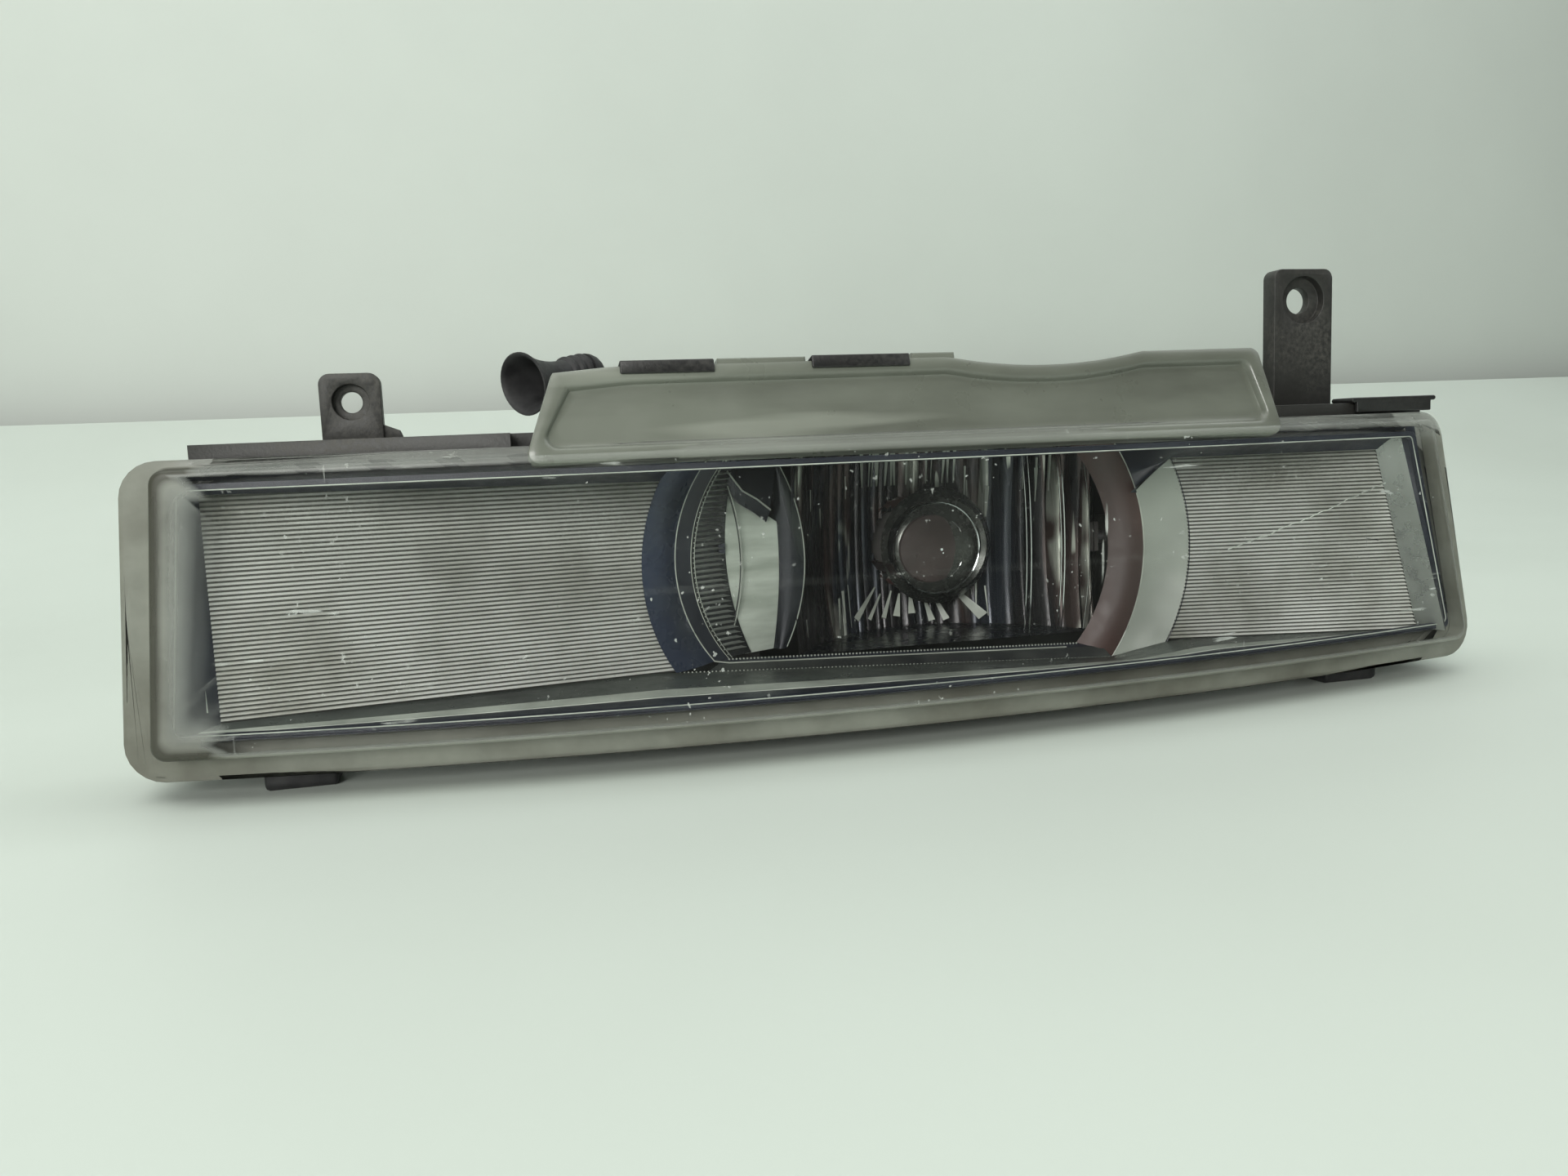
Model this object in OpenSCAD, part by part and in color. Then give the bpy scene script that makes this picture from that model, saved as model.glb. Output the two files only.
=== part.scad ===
// Rectangular halogen fog lamp for the outboard end of a car bumper.
// Lamp frame: X runs to the outboard end, -Y out of the lens, Z up.
// The lens curves round a vertical axis; y = 0 is the chord of its face before the final shift.

/* [Lens] */
// Left end of the face at its top edge
face_x0_top = -157.5; // [-158:0.5:-155]
// Left end of the face at its bottom edge
face_x0_bot = -163; // [-164:0.5:-158]
// Right end of the face at its top edge
face_x1_top = 147.5; // [146:0.5:150]
// Right end of the face at its bottom edge
face_x1_bot = 163; // [158:0.5:164]
// Height of the top edge of the lens face above the ground
face_top = 70; // [69:0.5:71]
// Height of the bottom edge of the lens face above the ground
face_bot = 10.5; // [10:0.5:12]
// Plan radius of the lens face
face_r = 798; // [780:1:900]
// Thickness of the lens wall
lens_t = 2.6; // [2:0.1:3]
// How far the flange sits behind the face
flange_back = 6; // [5:0.5:7]
// Thickness of the flange
flange_t = 4; // [3.5:0.1:4.5]
// How far the flange stands out at the left end
flange_left = 7.5; // [6:0.5:8]
// How far the flange stands out at the right end
flange_right = 10; // [9:0.5:11]
// How far the flange stands out below the face
flange_down = 6; // [5:0.5:6.5]
// How far the flange stands out above the face
flange_up = 2; // [1.5:0.5:2.5]

/* [Apron] */
// Left foot of the apron, where it meets the face
apron_x0 = -84.5; // [-88:0.5:-82]
// Right foot of the apron, where it meets the face
apron_x1 = 97.5; // [95:0.5:101]
// Height of the apron's top edge
apron_top = 88.4; // [87:0.2:89]
// Slope of the apron away from the viewer, in degrees
apron_lean = 14; // [10:1:16]
// Depth of the shallow dip in the top edge
dip_depth = 2.6; // [1:0.1:3]
// Radius of the dip
dip_r = 120; // [100:5:160]

/* [Housing] */
// Wall thickness of the housing
wall = 2.4; // [2:0.1:2.8]
// Depth of the tray behind the chord
tray_depth = 34; // [33:0.5:36]
// Left side of the deep pod
pod_x0 = -72; // [-73:1:-71]
// Right side of the deep pod
pod_x1 = 92; // [91:1:94]
// Top of the deep pod
pod_top = 86; // [85.5:0.5:86.5]
// Depth of the pod behind the chord
pod_depth = 98; // [97:1:100]
// Height of the ledge along the top, behind the flange
ledge_top = 75; // [74:0.5:76]
// Height of the bulb axis
axis_z = 40; // [39:0.5:41]
// Sideways place of the bulb axis
axis_x = 28; // [27:1:30]
// Inner radius of the rear neck
neck_r = 31; // [30:0.5:32]
// Length of the rear neck
neck_len = 9; // [9:0.5:10]

/* [Mounting tabs] */
// Sideways place of the left tab
tab_l_x = -120.5; // [-122:0.5:-116]
// Width of the left tab
tab_l_w = 13.2; // [12.4:0.2:15]
// Top of the left tab
tab_l_top = 90; // [89:0.5:92]
// Height of the left hole
tab_l_z = 83.6; // [83:0.1:84.5]
// Radius of the left hole
tab_l_r = 2.4; // [2:0.1:2.8]
// Sideways place of the right tab
tab_r_x = 127.9; // [124:0.1:130]
// Width of the right tab
tab_r_w = 18.2; // [17:0.2:21]
// Top of the right tab
tab_r_top = 112; // [111:0.5:114]
// Height of the right hole
tab_r_z = 103.7; // [102:0.1:104]
// Radius of the right hole
tab_r_r = 3.5; // [3:0.1:4]
// Plate thickness of the tabs
tab_t = 5; // [4:0.5:6]
// Distance of the tabs behind the chord
tab_y = 24; // [22:1:27]

/* [Wings] */
// Pitch of the reflector ribs
rib_pitch = 1; // [1:0.5:2]
// Depth of the reflector ribs
rib_depth = 0.5; // [0.3:0.1:0.8]
// Height of a ribbed wing
wing_h = 48; // [46:1:48]

/* [Aperture] */
// Left end of the barrel-shaped aperture
ap_x0 = -48; // [-50:1:-46]
// Right end of the barrel-shaped aperture
ap_x1 = 81; // [79:1:83]
// Half height of the aperture
ap_half = 26; // [25:0.5:26.5]
// Radius of its curved ends
ap_r = 46; // [40:1:50]
// Number of teeth on the light baffle
teeth = 34; // [20:1:40]

/* [Reflector] */
// Focal length of the main reflector
focal = 14; // [13.5:0.5:14.5]
// Half width of the reflector
rim_r = 44; // [43:0.5:44]
// Half height of the reflector
refl_half = 25; // [24:0.5:25.5]
// Depth of the reflector rim behind the chord
rim_y = 38; // [37.5:0.5:38.5]
// Radius of the bulb shield
shield_r = 12.5; // [12:0.5:13]

/* [Aim adjuster] */
// Height of the aim screw above the bulb axis
aim_arm = 36; // [35.5:0.5:36.5]
// Sideways place of the aim screw
aim_x = 58; // [57:1:60]
// Radius of the aim screw
screw_r = 2.5; // [2.3:0.1:2.6]
// Radius of the cross barrel nut
barrel_r = 4; // [3.8:0.1:4.1]

/* [Hidden] */
$fn = 96;

// lens curve
face_half = 159;
sagitta = face_r - sqrt(face_r * face_r - face_half * face_half);
arc_y = face_r - sagitta;                 // plan centre of the lens curve
front_y = -sagitta;
apron_y = front_y + 11.5;                 // back of the apron at its foot
apron_t = 4;
apron_rise = (apron_top - face_top) / cos(apron_lean);
apron_tilt = 0.0065;                        // fall of its top edge towards the inboard end
// height of the apron's top edge at x, up its slope
function apron_edge(x) = apron_rise - apron_tilt * (apron_x1 - x);
flange_r = face_r - flange_back;          // front of the flange
seat_r = flange_r - flange_t;             // back of the flange
pod_front = 7;                            // front of the raised box behind the apron
housing_r = seat_r - 1.2;                 // front edge of the housing, behind the seal
border_r = face_r - lens_t - 2;           // front of the bezel border

// flange corners
rim_x0 = face_x0_bot - flange_left;
rim_x1 = face_x1_bot + flange_right;
rim_bot = face_bot - flange_down;
rim_top = face_top + flange_up;
rim_c = 8;                                // corner radius of the flange

// the reflector and what sits on its axis
vertex_y = rim_y + rim_r * rim_r / (4 * focal);
refl_t = 2.2;
collar_r = 15;
collar_y = vertex_y + 12;                 // rear face of the bulb collar
base_r = 10;
lug_r = 12;
lug_y = collar_y - 6;
pivot_y = 50;
pivot_r = 2;
pivot_x = 52;                             // half distance between the pivot pins
fit = 0.05;                               // radial clearance of a running fit

// rear cap
neck_out = neck_r + 3;
neck_end = pod_depth + neck_len;
cap_lug_y = pod_depth + 3;
back_y = neck_end + 10;                   // rearmost surface of the lamp
shift_y = -(front_y + back_y) / 2;        // centres the lamp front to back
// how far rounding brings in a lower corner of the flange, by the lean of its end
function corner_in(lean) = rim_c * (1 / tan(45 - atan(lean / (rim_top - rim_bot)) / 2) - 1);
lean_l = face_x0_top - flange_left - rim_x0;
lean_r = rim_x1 - (face_x1_top + flange_right - 1);
shift_x = -(rim_x0 + corner_in(lean_l) + rim_x1 - corner_in(lean_r)) / 2;

// bezel
screw_places = [[-135, 22], [-135, 60], [126, 22], [126, 60]];
tray_back = tray_depth - wall;

// the legs of the bulb shield
leg_angles = [0, 120, 240];

// vent
vent_x = -64;
vent_y = 52;
vent_z = pod_top + 5.6;                   // centre of its elbow
vent_out = 50;                            // degrees from straight ahead to the left
vent_droop = 10.5;

// connector
plug_x = -50;
plug_z = 42;

black = [0.13, 0.13, 0.12];
frost = [0.60, 0.61, 0.55];
chrome = [0.75, 0.77, 0.78];
dark_chrome = [0.16, 0.18, 0.22];
brass = [0.72, 0.60, 0.30];
steel = [0.62, 0.63, 0.65];
nylon = [0.85, 0.85, 0.80];
rubber = [0.09, 0.09, 0.10];

// ---------- shared shapes ----------
// Moves a piece from the lamp frame to the final frame, centred over the origin.
module placed() {
    translate([shift_x, shift_y, 0]) children();
}

// Stands a front-view outline up and gives it depth from y0 to y1.
module slab(y0, y1) {
    translate([0, y1, 0]) rotate([90, 0, 0]) linear_extrude(y1 - y0) children();
}

// A round bar along Y.
module bar_y(r, y0, y1, x = 0, z = 0) {
    translate([x, y0, z]) rotate([-90, 0, 0]) cylinder(r = r, h = y1 - y0);
}

// A round bar along X.
module bar_x(r, x0, x1, y = 0, z = 0) {
    translate([x0, y, z]) rotate([0, 90, 0]) cylinder(r = r, h = x1 - x0);
}

// A box between two corners.
module box(a, b) {
    translate(a) cube(b - a);
}

module square_at(x0, z0, x1, z1) {
    translate([x0, z0]) square([x1 - x0, z1 - z0]);
}

// Everything behind the lens curve of radius r.
module behind_curve(r) {
    translate([0, arc_y, -50]) cylinder(r = r, h = 250, $fn = 360);
}

// A polygon whose corners are rounded with arcs of radius c.
module rounded(pts, c) {
    n = len(pts);
    polygon([for (i = [0 : n - 1])
        let (p = pts[i], a = pts[(i + n - 1) % n] - p, b = pts[(i + 1) % n] - p,
             ua = a / norm(a), ub = b / norm(b), m = (ua + ub) / norm(ua + ub),
             h = acos(ua * ub) / 2, o = p + m * c / sin(h), t = c / tan(h),
             s = p + ua * t - o, e = p + ub * t - o,
             a0 = atan2(s[1], s[0]), d = ((atan2(e[1], e[0]) - a0 + 540) % 360) - 180)
        for (k = [0 : 6]) o + c * [cos(a0 + d * k / 6), sin(a0 + d * k / 6)]]);
}

// Front-view outline of the lens face, shrunk by g.
module face_outline(g = 0, c = 3) {
    rounded([[face_x0_bot + g, face_bot + g], [face_x1_bot - g, face_bot + g],
             [face_x1_top - g, face_top - g], [face_x0_top + g, face_top - g]], c);
}

// Front-view outline of the flange, shrunk by g.
module rim_outline(g = 0, c = rim_c) {
    rounded([[rim_x0 + g, rim_bot + g], [rim_x1 - g, rim_bot + g],
             [face_x1_top + flange_right - 1 - g, rim_top - g],
             [face_x0_top - flange_left + g, rim_top - g]], c);
}

// The barrel-shaped outline of the aperture: straight top and bottom, curved ends.
module barrel(x0, x1, h, r) {
    intersection() {
        union() {
            translate([x0 + r, axis_z]) circle(r = r, $fn = 180);
            translate([x1 - r, axis_z]) circle(r = r, $fn = 180);
            square_at(x0 + r, axis_z - h, x1 - r, axis_z + h);
        }
        square_at(x0 - 1, axis_z - h, x1 + 1, axis_z + h);
    }
}

// ---------- lens ----------
// Outline of the apron plate in its own plane, shrunk by g; v0 is the height of its lower edge.
module apron_outline(g = 0, v0 = -3) {
    top = apron_rise - g;
    difference() {
        rounded([[apron_x0 + g, v0], [apron_x1 - g, v0], [apron_x1 - 4 - g, top],
                 [apron_x0 + 20 + g, apron_edge(apron_x0) - g],
                 [apron_x0 + 8 + g, apron_edge(apron_x0) - 1 - g]], 2.4);
        translate([37, apron_edge(37) - g + dip_r - dip_depth]) circle(r = dip_r, $fn = 360);
    }
}

// Places a plate on the sloping plane of the apron, front side towards the viewer.
module on_apron() {
    translate([0, apron_y, face_top]) rotate([90 - apron_lean, 0, 0]) children();
}

module lens() {
    color(frost, 0.6) placed() {
        // curved face, its side walls and the flange, open at the back
        difference() {
            union() {
                intersection() {
                    slab(-40, 60) face_outline();
                    behind_curve(face_r);
                }
                intersection() {
                    slab(-40, 60) rim_outline();
                    behind_curve(flange_r);
                }
            }
            intersection() {
                slab(-60, 80) face_outline(lens_t, 1.5);
                behind_curve(face_r - lens_t);
            }
            behind_curve(seat_r);
        }
        // apron: a recessed panel inside a raised rim, with tabs on its top edge
        difference() {
            on_apron() union() {
                linear_extrude(apron_t) apron_outline();
                for (x = [[-41.5, -21.5], [3.5, 14]])
                    linear_extrude(apron_t - 0.6)
                        square_at(x[0], apron_edge(x[0]) - 5, x[1], apron_edge(x[0]) + 1.2);
            }
            on_apron() translate([0, 0, 2.2]) linear_extrude(apron_t) apron_outline(3.5, 3.5);
            // room for the seal behind the flange
            intersection() {
                behind_curve(seat_r);
                slab(-60, 80) square_at(-200, 0, 200, rim_top + 0.4);
            }
        }
    }
}

module lens_seal() {
    color(rubber) placed() difference() {
        intersection() {
            slab(-40, 60) rim_outline(1.5, 7);
            behind_curve(seat_r);
        }
        behind_curve(housing_r);
        slab(-60, 80) rim_outline(4.2, 4);
    }
}

// ---------- housing ----------
// Outer shape of the tray behind the lens; g shrinks it for the inside.
module tray_body(g = 0) {
    intersection() {
        slab(-40, tray_depth - g) rim_outline(0.5 + g, 7 - g / 2);
        behind_curve(housing_r);
    }
}

// Deep pod behind the aperture; g shrinks it for the inside.
module pod_body(g = 0) {
    slab(pod_front + g, pod_depth - g)
        rounded([[pod_x0 + g, 6 + g], [pod_x1 - g, 6 + g], [pod_x1 - g, pod_top - g],
                 [pod_x0 + g, pod_top - g]], 8 - g);
}

// One mounting tab with its counterbored hole.
module tab(x, z, r, width, top, recess_r) {
    foot = ledge_top - 6;
    difference() {
        slab(tab_y, tab_y + tab_t)
            rounded([[x - width / 2, foot], [x + width / 2, foot],
                     [x + width / 2, top], [x - width / 2, top]], 2.5);
        bar_y(r, tab_y - 1, tab_y + tab_t + 1, x, z);
        bar_y(recess_r, tab_y - 1, tab_y + 2.4, x, z);
    }
}

// Towers on the pod floor and the pod side that hold the pivot pins.
module pivot_towers() {
    for (s = [-1, 1])
        box([axis_x + s * (pivot_x + 3) - 3, pivot_y - 5, 7],
            [axis_x + s * (pivot_x + 3) + 3, pivot_y + 5, axis_z + 6]);
}

// Ribs on the back of the tray, on both sides of the pod, and round its waist.
module stiffening_ribs() {
    for (z = [30, 50])
        for (x = [[-160, pod_x0 + 1], [pod_x1 - 1, 158]])
            box([x[0], tray_depth - 1, z - 1], [x[1], tray_depth + 5, z + 1]);
    for (x = [-112, -88, 106])
        box([x - 1, tray_depth - 1, 12], [x + 1, tray_depth + 5, 68]);
    for (y = [54, 76]) {
        box([pod_x0 - 2.5, y - 1, 16], [pod_x0 + 1, y + 1, pod_top - 10]);
        box([pod_x1 - 1, y - 1, 16], [pod_x1 + 2.5, y + 1, pod_top - 10]);
    }
}

// Tray and pod with their ledge, rear neck, boss and ribs, hollowed out.
module shell() {
    difference() {
        union() {
            tray_body();
            pod_body();
            intersection() {
                slab(-10, tray_depth - 1) square_at(-152, rim_top - 3, 154.5, ledge_top);
                behind_curve(housing_r);
            }
            bar_y(neck_out, pod_depth - 1, neck_end, axis_x, axis_z);
            bar_y(9, pod_depth - 1, pod_depth + 3, aim_x, axis_z + aim_arm);
            stiffening_ribs();
        }
        tray_body(wall);
        pod_body(wall);
        // clearance behind the foot of the apron
        box([apron_x0 - 2, -30, rim_top + 0.1], [apron_x1 + 2, pod_front, 100]);
        bar_y(neck_r, pod_depth - 10, neck_end + 1, axis_x, axis_z);
        cap_groove();
    }
}

// Groove in the neck for the lugs of the rear cap, and their entry slots.
module cap_groove() {
    groove_r = neck_out - 1.2;
    difference() {
        union() {
            bar_y(neck_out + 1, cap_lug_y - 1.4, cap_lug_y + 1.4, axis_x, axis_z);
            for (a = [30 : 120 : 270])
                translate([axis_x, cap_lug_y, axis_z]) rotate([0, a, 0])
                    box([-4, -1.4, neck_out - 4], [4, neck_len, neck_out + 2]);
        }
        bar_y(groove_r, cap_lug_y - 3, neck_end + 4, axis_x, axis_z);
    }
}

// Shell and pivot towers with every hole through them.
module moulding() {
    difference() {
        union() {
            shell();
            pivot_towers();
        }
        bar_y(5, pod_depth - 6, pod_depth + 4, aim_x, axis_z + aim_arm);
        bar_y(8, pod_depth - 6, pod_depth + 4, plug_x, plug_z);
        bar_x(pivot_r, axis_x - pivot_x - 7, axis_x - pivot_x + 1, pivot_y, axis_z);
        bar_x(pivot_r, axis_x + pivot_x - 1, axis_x + pivot_x + 7, pivot_y, axis_z);
        translate([vent_x, vent_y, pod_top - 6]) cylinder(r = 3, h = 20);
        for (p = screw_places) bar_y(1.9, tray_depth - 5, tray_depth + 1, p[0], p[1]);
    }
}

// Gusset behind a tab: it reaches back by reach and up to top.
module gusset(x, reach, top) {
    y0 = tab_y + tab_t - 1;
    box([x - 1.5, y0, ledge_top - 6], [x + 1.5, y0 + reach, top]);
}

// Room taken by the pod behind the tray, with its side ribs.
module pod_region() {
    box([pod_x0, tray_depth, -1], [pod_x1, 200, 100]);
    box([pod_x0 - 3, tray_depth + 6, -1], [pod_x1 + 3, 200, 100]);
}

module housing() {
    color(black) placed() difference() {
        moulding();
        pod_region();
    }
}

module housing_pod() {
    color(black) placed() intersection() {
        moulding();
        pod_region();
    }
}

// Both tabs, standing on the ledge, with the flare at the foot of the left one.
module mounting_tabs() {
    color(black) placed() difference() {
        union() {
            tab(tab_l_x, tab_l_z, tab_l_r, tab_l_w, tab_l_top, 4);
            tab(tab_r_x, tab_r_z, tab_r_r, tab_r_w, tab_r_top, 6.4);
            gusset(tab_l_x, 4, 79);
            gusset(tab_r_x, 5, 92);
            slab(tab_y + 1, tab_y + tab_t)
                polygon([[tab_l_x + 5, 72], [tab_l_x + 12, 72], [tab_l_x + 10, 77],
                         [tab_l_x + 5, 79]]);
        }
        box([-200, tab_y - 10, ledge_top - 10], [200, tray_depth + 10, ledge_top]);
    }
}

// ---------- bezel ----------
module bezel_frame() {
    color(dark_chrome) placed() difference() {
        intersection() {
            slab(-40, 24) face_outline(lens_t + 0.6, 1.4);
            behind_curve(border_r);
        }
        difference() {
            slab(-60, 80) face_outline(lens_t - 1, 2);
            behind_curve(border_r);
        }
        intersection() {
            slab(-60, 80) face_outline(lens_t + 2.4, 1.2);
            behind_curve(border_r - 2);
        }
        slab(-60, 80) face_outline(8, 2);
    }
}

// Barrel-shaped ring between the wings, with the smooth bands either side of the aperture.
module aperture_ring() {
    color(dark_chrome) placed() difference() {
        union() {
            slab(25, 27.5) barrel(ap_x0 - 9, ap_x1 + 10, ap_half + 1.4, ap_r + 6);
            slab(25, 31) barrel(ap_x0 - 2, ap_x1 + 2, ap_half + 1.4, ap_r + 1);
        }
        slab(20, 35) barrel(ap_x0, ap_x1, ap_half, ap_r);
    }
}

// Room between the wings for the aperture ring.
module ring_gap() {
    slab(-10, 60) barrel(ap_x0 - 9.5, ap_x1 + 10.5, ap_half + 9, ap_r + 6.5);
}

// A plate ribbed across its front, in its own plane: u along, z up, ribs towards -Y.
module ribbed_plate(length) {
    n = floor(wing_h / rib_pitch);
    z0 = axis_z - wing_h / 2;
    rotate([90, 0, 90]) linear_extrude(length)
        polygon(concat([[2.4, z0 + n * rib_pitch], [2.4, z0]],
                       [for (i = [0 : n - 1]) each [[0, z0 + i * rib_pitch],
                                                    [-rib_depth, z0 + (i + 0.5) * rib_pitch]]],
                       [[0, z0 + n * rib_pitch]]));
}

// Screw bosses on the back of a wing, drilled for the bezel screws.
module bosses(x, y0) {
    for (p = screw_places)
        if (p[0] == x) bar_y(4, y0, tray_back - 0.1, x, p[1]);
}

module wing_reflector_left() {
    color(chrome) placed() difference() {
        union() {
            translate([-150.5, 9, 0]) rotate([0, 0, 8]) ribbed_plate(96);
            bosses(-135, 13);
        }
        ring_gap();
        for (p = screw_places) bar_y(1.8, 16, 40, p[0], p[1]);
    }
}

module wing_reflector_right() {
    color(chrome) placed() difference() {
        union() {
            intersection() {
                translate([154, 7, 0]) mirror([1, 0, 0]) rotate([0, 0, 13]) ribbed_plate(68);
                // its outboard end leans with the end of the lens
                slab(-10, 60) polygon([[0, 0], [155.4, 0], [135.7, 80], [0, 80]]);
            }
            bosses(126, 15);
        }
        ring_gap();
        for (p = screw_places) bar_y(1.8, 25.5, 40, p[0], p[1]);
    }
}

// Serrated crescent at the left end of the aperture, and the smooth wall behind it.
module light_baffle() {
    tooth = 90 / teeth;
    color(chrome) placed() difference() {
        union() {
            difference() {
                slab(31.2, 35) barrel(ap_x0 - 1.5, ap_x0 + 90, ap_half + 1, ap_r + 0.5);
                translate([ap_x0 + ap_r, 0, axis_z]) slab(30, 36)
                    polygon([for (i = [0 : 4 * teeth])
                        let (r = i % 2 == 0 ? ap_r - 5 : ap_r - 3.6)
                        r * [cos(i * tooth), sin(i * tooth)]]);
            }
            // smooth curved wall that leads back towards the reflector
            difference() {
                slab(34.9, 43) barrel(ap_x0 + 5, ap_x0 + 90, ap_half - 1, ap_r - 4);
                slab(34, 44) barrel(ap_x0 + 6.2, ap_x0 + 91, ap_half - 2.2, ap_r - 5);
            }
        }
        box([ap_x0 + 26, 30, 0], [200, 50, 90]);
    }
}

module bezel_screws() {
    color(steel) placed()
        for (p = screw_places) difference() {
            union() {
                bar_y(1.75, tray_depth - 7, tray_depth + 0.5, p[0], p[1]);
                bar_y(3.6, tray_depth + 0.05, tray_depth + 2.4, p[0], p[1]);
            }
            translate([p[0], tray_depth + 1.2, p[1]]) rotate([-90, 0, 0])
                cylinder(r = 1.5, h = 3, $fn = 6);
        }
}

// ---------- clips, feet and vent ----------
// Two C-shaped clips over the top edge of the apron.
module apron_clips() {
    lip = 0.8;
    color(black) placed() on_apron()
        for (x = [[-63, -42.5], [-20.5, 2.5]])
            translate([0, apron_edge(x[1]), 0]) difference() {
                box([x[0], -2.2, -lip - 0.1], [x[1], 0.7, apron_t + lip]);
                box([x[0] - 1, -3, -0.1], [x[1] + 1, 0.1, apron_t + 0.1]);
            }
}

// Clip on the ledge at the outboard end: a flat top with rounded ends and a lip down its front.
module end_clip() {
    color(black) placed() {
        slab(4, 12) rounded([[127.5, ledge_top + 0.05], [153.5, ledge_top + 0.05],
                             [153.5, ledge_top + 1.3], [127.5, ledge_top + 1.3]], 0.6);
        box([129, 4, rim_top + 0.4], [152, 5.1, ledge_top + 0.6]);
    }
}

module buffer_feet() {
    color(rubber) placed() {
        for (x = [[-143, -128], [124, 140]])
            translate([x[0], 0, 0]) rotate([90, 0, 90]) linear_extrude(x[1] - x[0])
                rounded([[8, 0], [20, 0], [20, 5], [8, 5]], 1.8);
        box([axis_x - 15, 60, 0], [axis_x + 15, 84, 6]);
    }
}

// Rubber breather: a stub on the pod, an elbow, and a flared mouth.
module vent_trumpet() {
    color(rubber) placed() difference() {
        union() {
            translate([vent_x, vent_y, pod_top + 0.05]) cylinder(r = 5, h = 3);
            translate([vent_x, vent_y, pod_top + 2]) cylinder(r = 4.2, h = 3.6);
            translate([vent_x, vent_y, vent_z]) sphere(r = 4.4);
            vent_axis() rotate_extrude() polygon([[0, 0], [3.8, 0], [3.6, 8],
                [3.9, 13], [4.8, 17], [6.2, 20.5], [7.8, 23], [7.8, 23.8], [6.9, 23.8],
                [5.4, 20.5], [3.9, 16.5], [2.6, 12], [0, 11]]);
            for (k = [0 : 2]) vent_axis() translate([0, 0, 3.5 + 2.6 * k])
                rotate_extrude() translate([3.7, 0]) circle(r = 0.7, $fn = 24);
        }
        translate([vent_x, vent_y, pod_top - 1]) cylinder(r = 2.4, h = 6.6);
        vent_axis() cylinder(r = 2.4, h = 14);
    }
}

// Turns the Z axis to the direction in which the vent points.
module vent_axis() {
    translate([vent_x, vent_y, vent_z]) rotate([0, 0, -vent_out])
        rotate([90 + vent_droop, 0, 0]) children();
}

// ---------- connector ----------
module connector_shell() {
    color(black) placed() difference() {
        union() {
            bar_y(7.95, pod_depth - 4, pod_depth + 1, plug_x, plug_z);
            slab(pod_depth + 0.05, back_y - 1)
                rounded([[plug_x - 12, plug_z - 8], [plug_x + 12, plug_z - 8],
                         [plug_x + 12, plug_z + 8], [plug_x - 12, plug_z + 8]], 3);
            box([plug_x - 4, pod_depth + 6, plug_z + 7], [plug_x + 4, pod_depth + 12, plug_z + 10]);
        }
        slab(pod_depth + 4, back_y)
            rounded([[plug_x - 10, plug_z - 6], [plug_x + 10, plug_z - 6],
                     [plug_x + 10, plug_z + 6], [plug_x - 10, plug_z + 6]], 2);
        for (s = [-1, 1])
            box([plug_x + s * 4 - 1.4, pod_depth - 6, plug_z - 0.4],
                [plug_x + s * 4 + 1.4, pod_depth + 6, plug_z + 0.4]);
    }
}

module connector_pins() {
    color(brass) placed()
        for (s = [-1, 1])
            box([plug_x + s * 4 - 1.4, pod_depth - 9, plug_z - 0.4],
                [plug_x + s * 4 + 1.4, back_y - 6, plug_z + 0.4]);
}

// ---------- aim adjuster and pivots ----------
module pivot_pins() {
    color(steel) placed()
        for (s = [-1, 1]) {
            x0 = axis_x + s * (pivot_x - 4.5);
            x1 = axis_x + s * (pivot_x + 6);
            bar_x(pivot_r, min(x0, x1), max(x0, x1), pivot_y, axis_z);
        }
}

module adjuster_bush() {
    color(nylon) placed() difference() {
        union() {
            bar_y(5, pod_depth - 5, pod_depth + 3.05, aim_x, axis_z + aim_arm);
            bar_y(7, pod_depth + 3.05, pod_depth + 4.5, aim_x, axis_z + aim_arm);
        }
        bar_y(screw_r + fit, pod_depth - 10, pod_depth + 10, aim_x, axis_z + aim_arm);
    }
}

module adjuster_screw() {
    color(nylon) placed() difference() {
        union() {
            bar_y(screw_r, pivot_y - 8, pod_depth + 6, aim_x, axis_z + aim_arm);
            bar_y(6, pod_depth + 4.6, pod_depth + 9, aim_x, axis_z + aim_arm);
            // collar that holds the screw in the bush
            bar_y(4, pod_depth - 6.6, pod_depth - 5.1, aim_x, axis_z + aim_arm);
        }
        translate([aim_x, pod_depth + 5.5, axis_z + aim_arm]) rotate([-90, 0, 0])
            cylinder(r = 3.2, h = 5, $fn = 6);
    }
}

module adjuster_nut() {
    color(nylon) placed() difference() {
        bar_x(barrel_r, aim_x - 4.5, aim_x + 4.5, pivot_y, axis_z + aim_arm);
        bar_y(screw_r + fit, pivot_y - 8, pivot_y + 8, aim_x, axis_z + aim_arm);
    }
}

// ---------- reflector ----------
// Profile of the paraboloid, moved out by t; it opens towards -Y.
module bowl(t, grow = 0) {
    steps = 14;
    r1 = rim_r + grow;
    translate([axis_x, vertex_y + t, axis_z]) rotate([90, 0, 0]) rotate_extrude()
        polygon(concat([[0, 0]],
                       [for (i = [1 : steps]) let (r = r1 * i / steps) [r, r * r / (4 * focal)]],
                       [[0, r1 * r1 / (4 * focal)]]));
}

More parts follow.
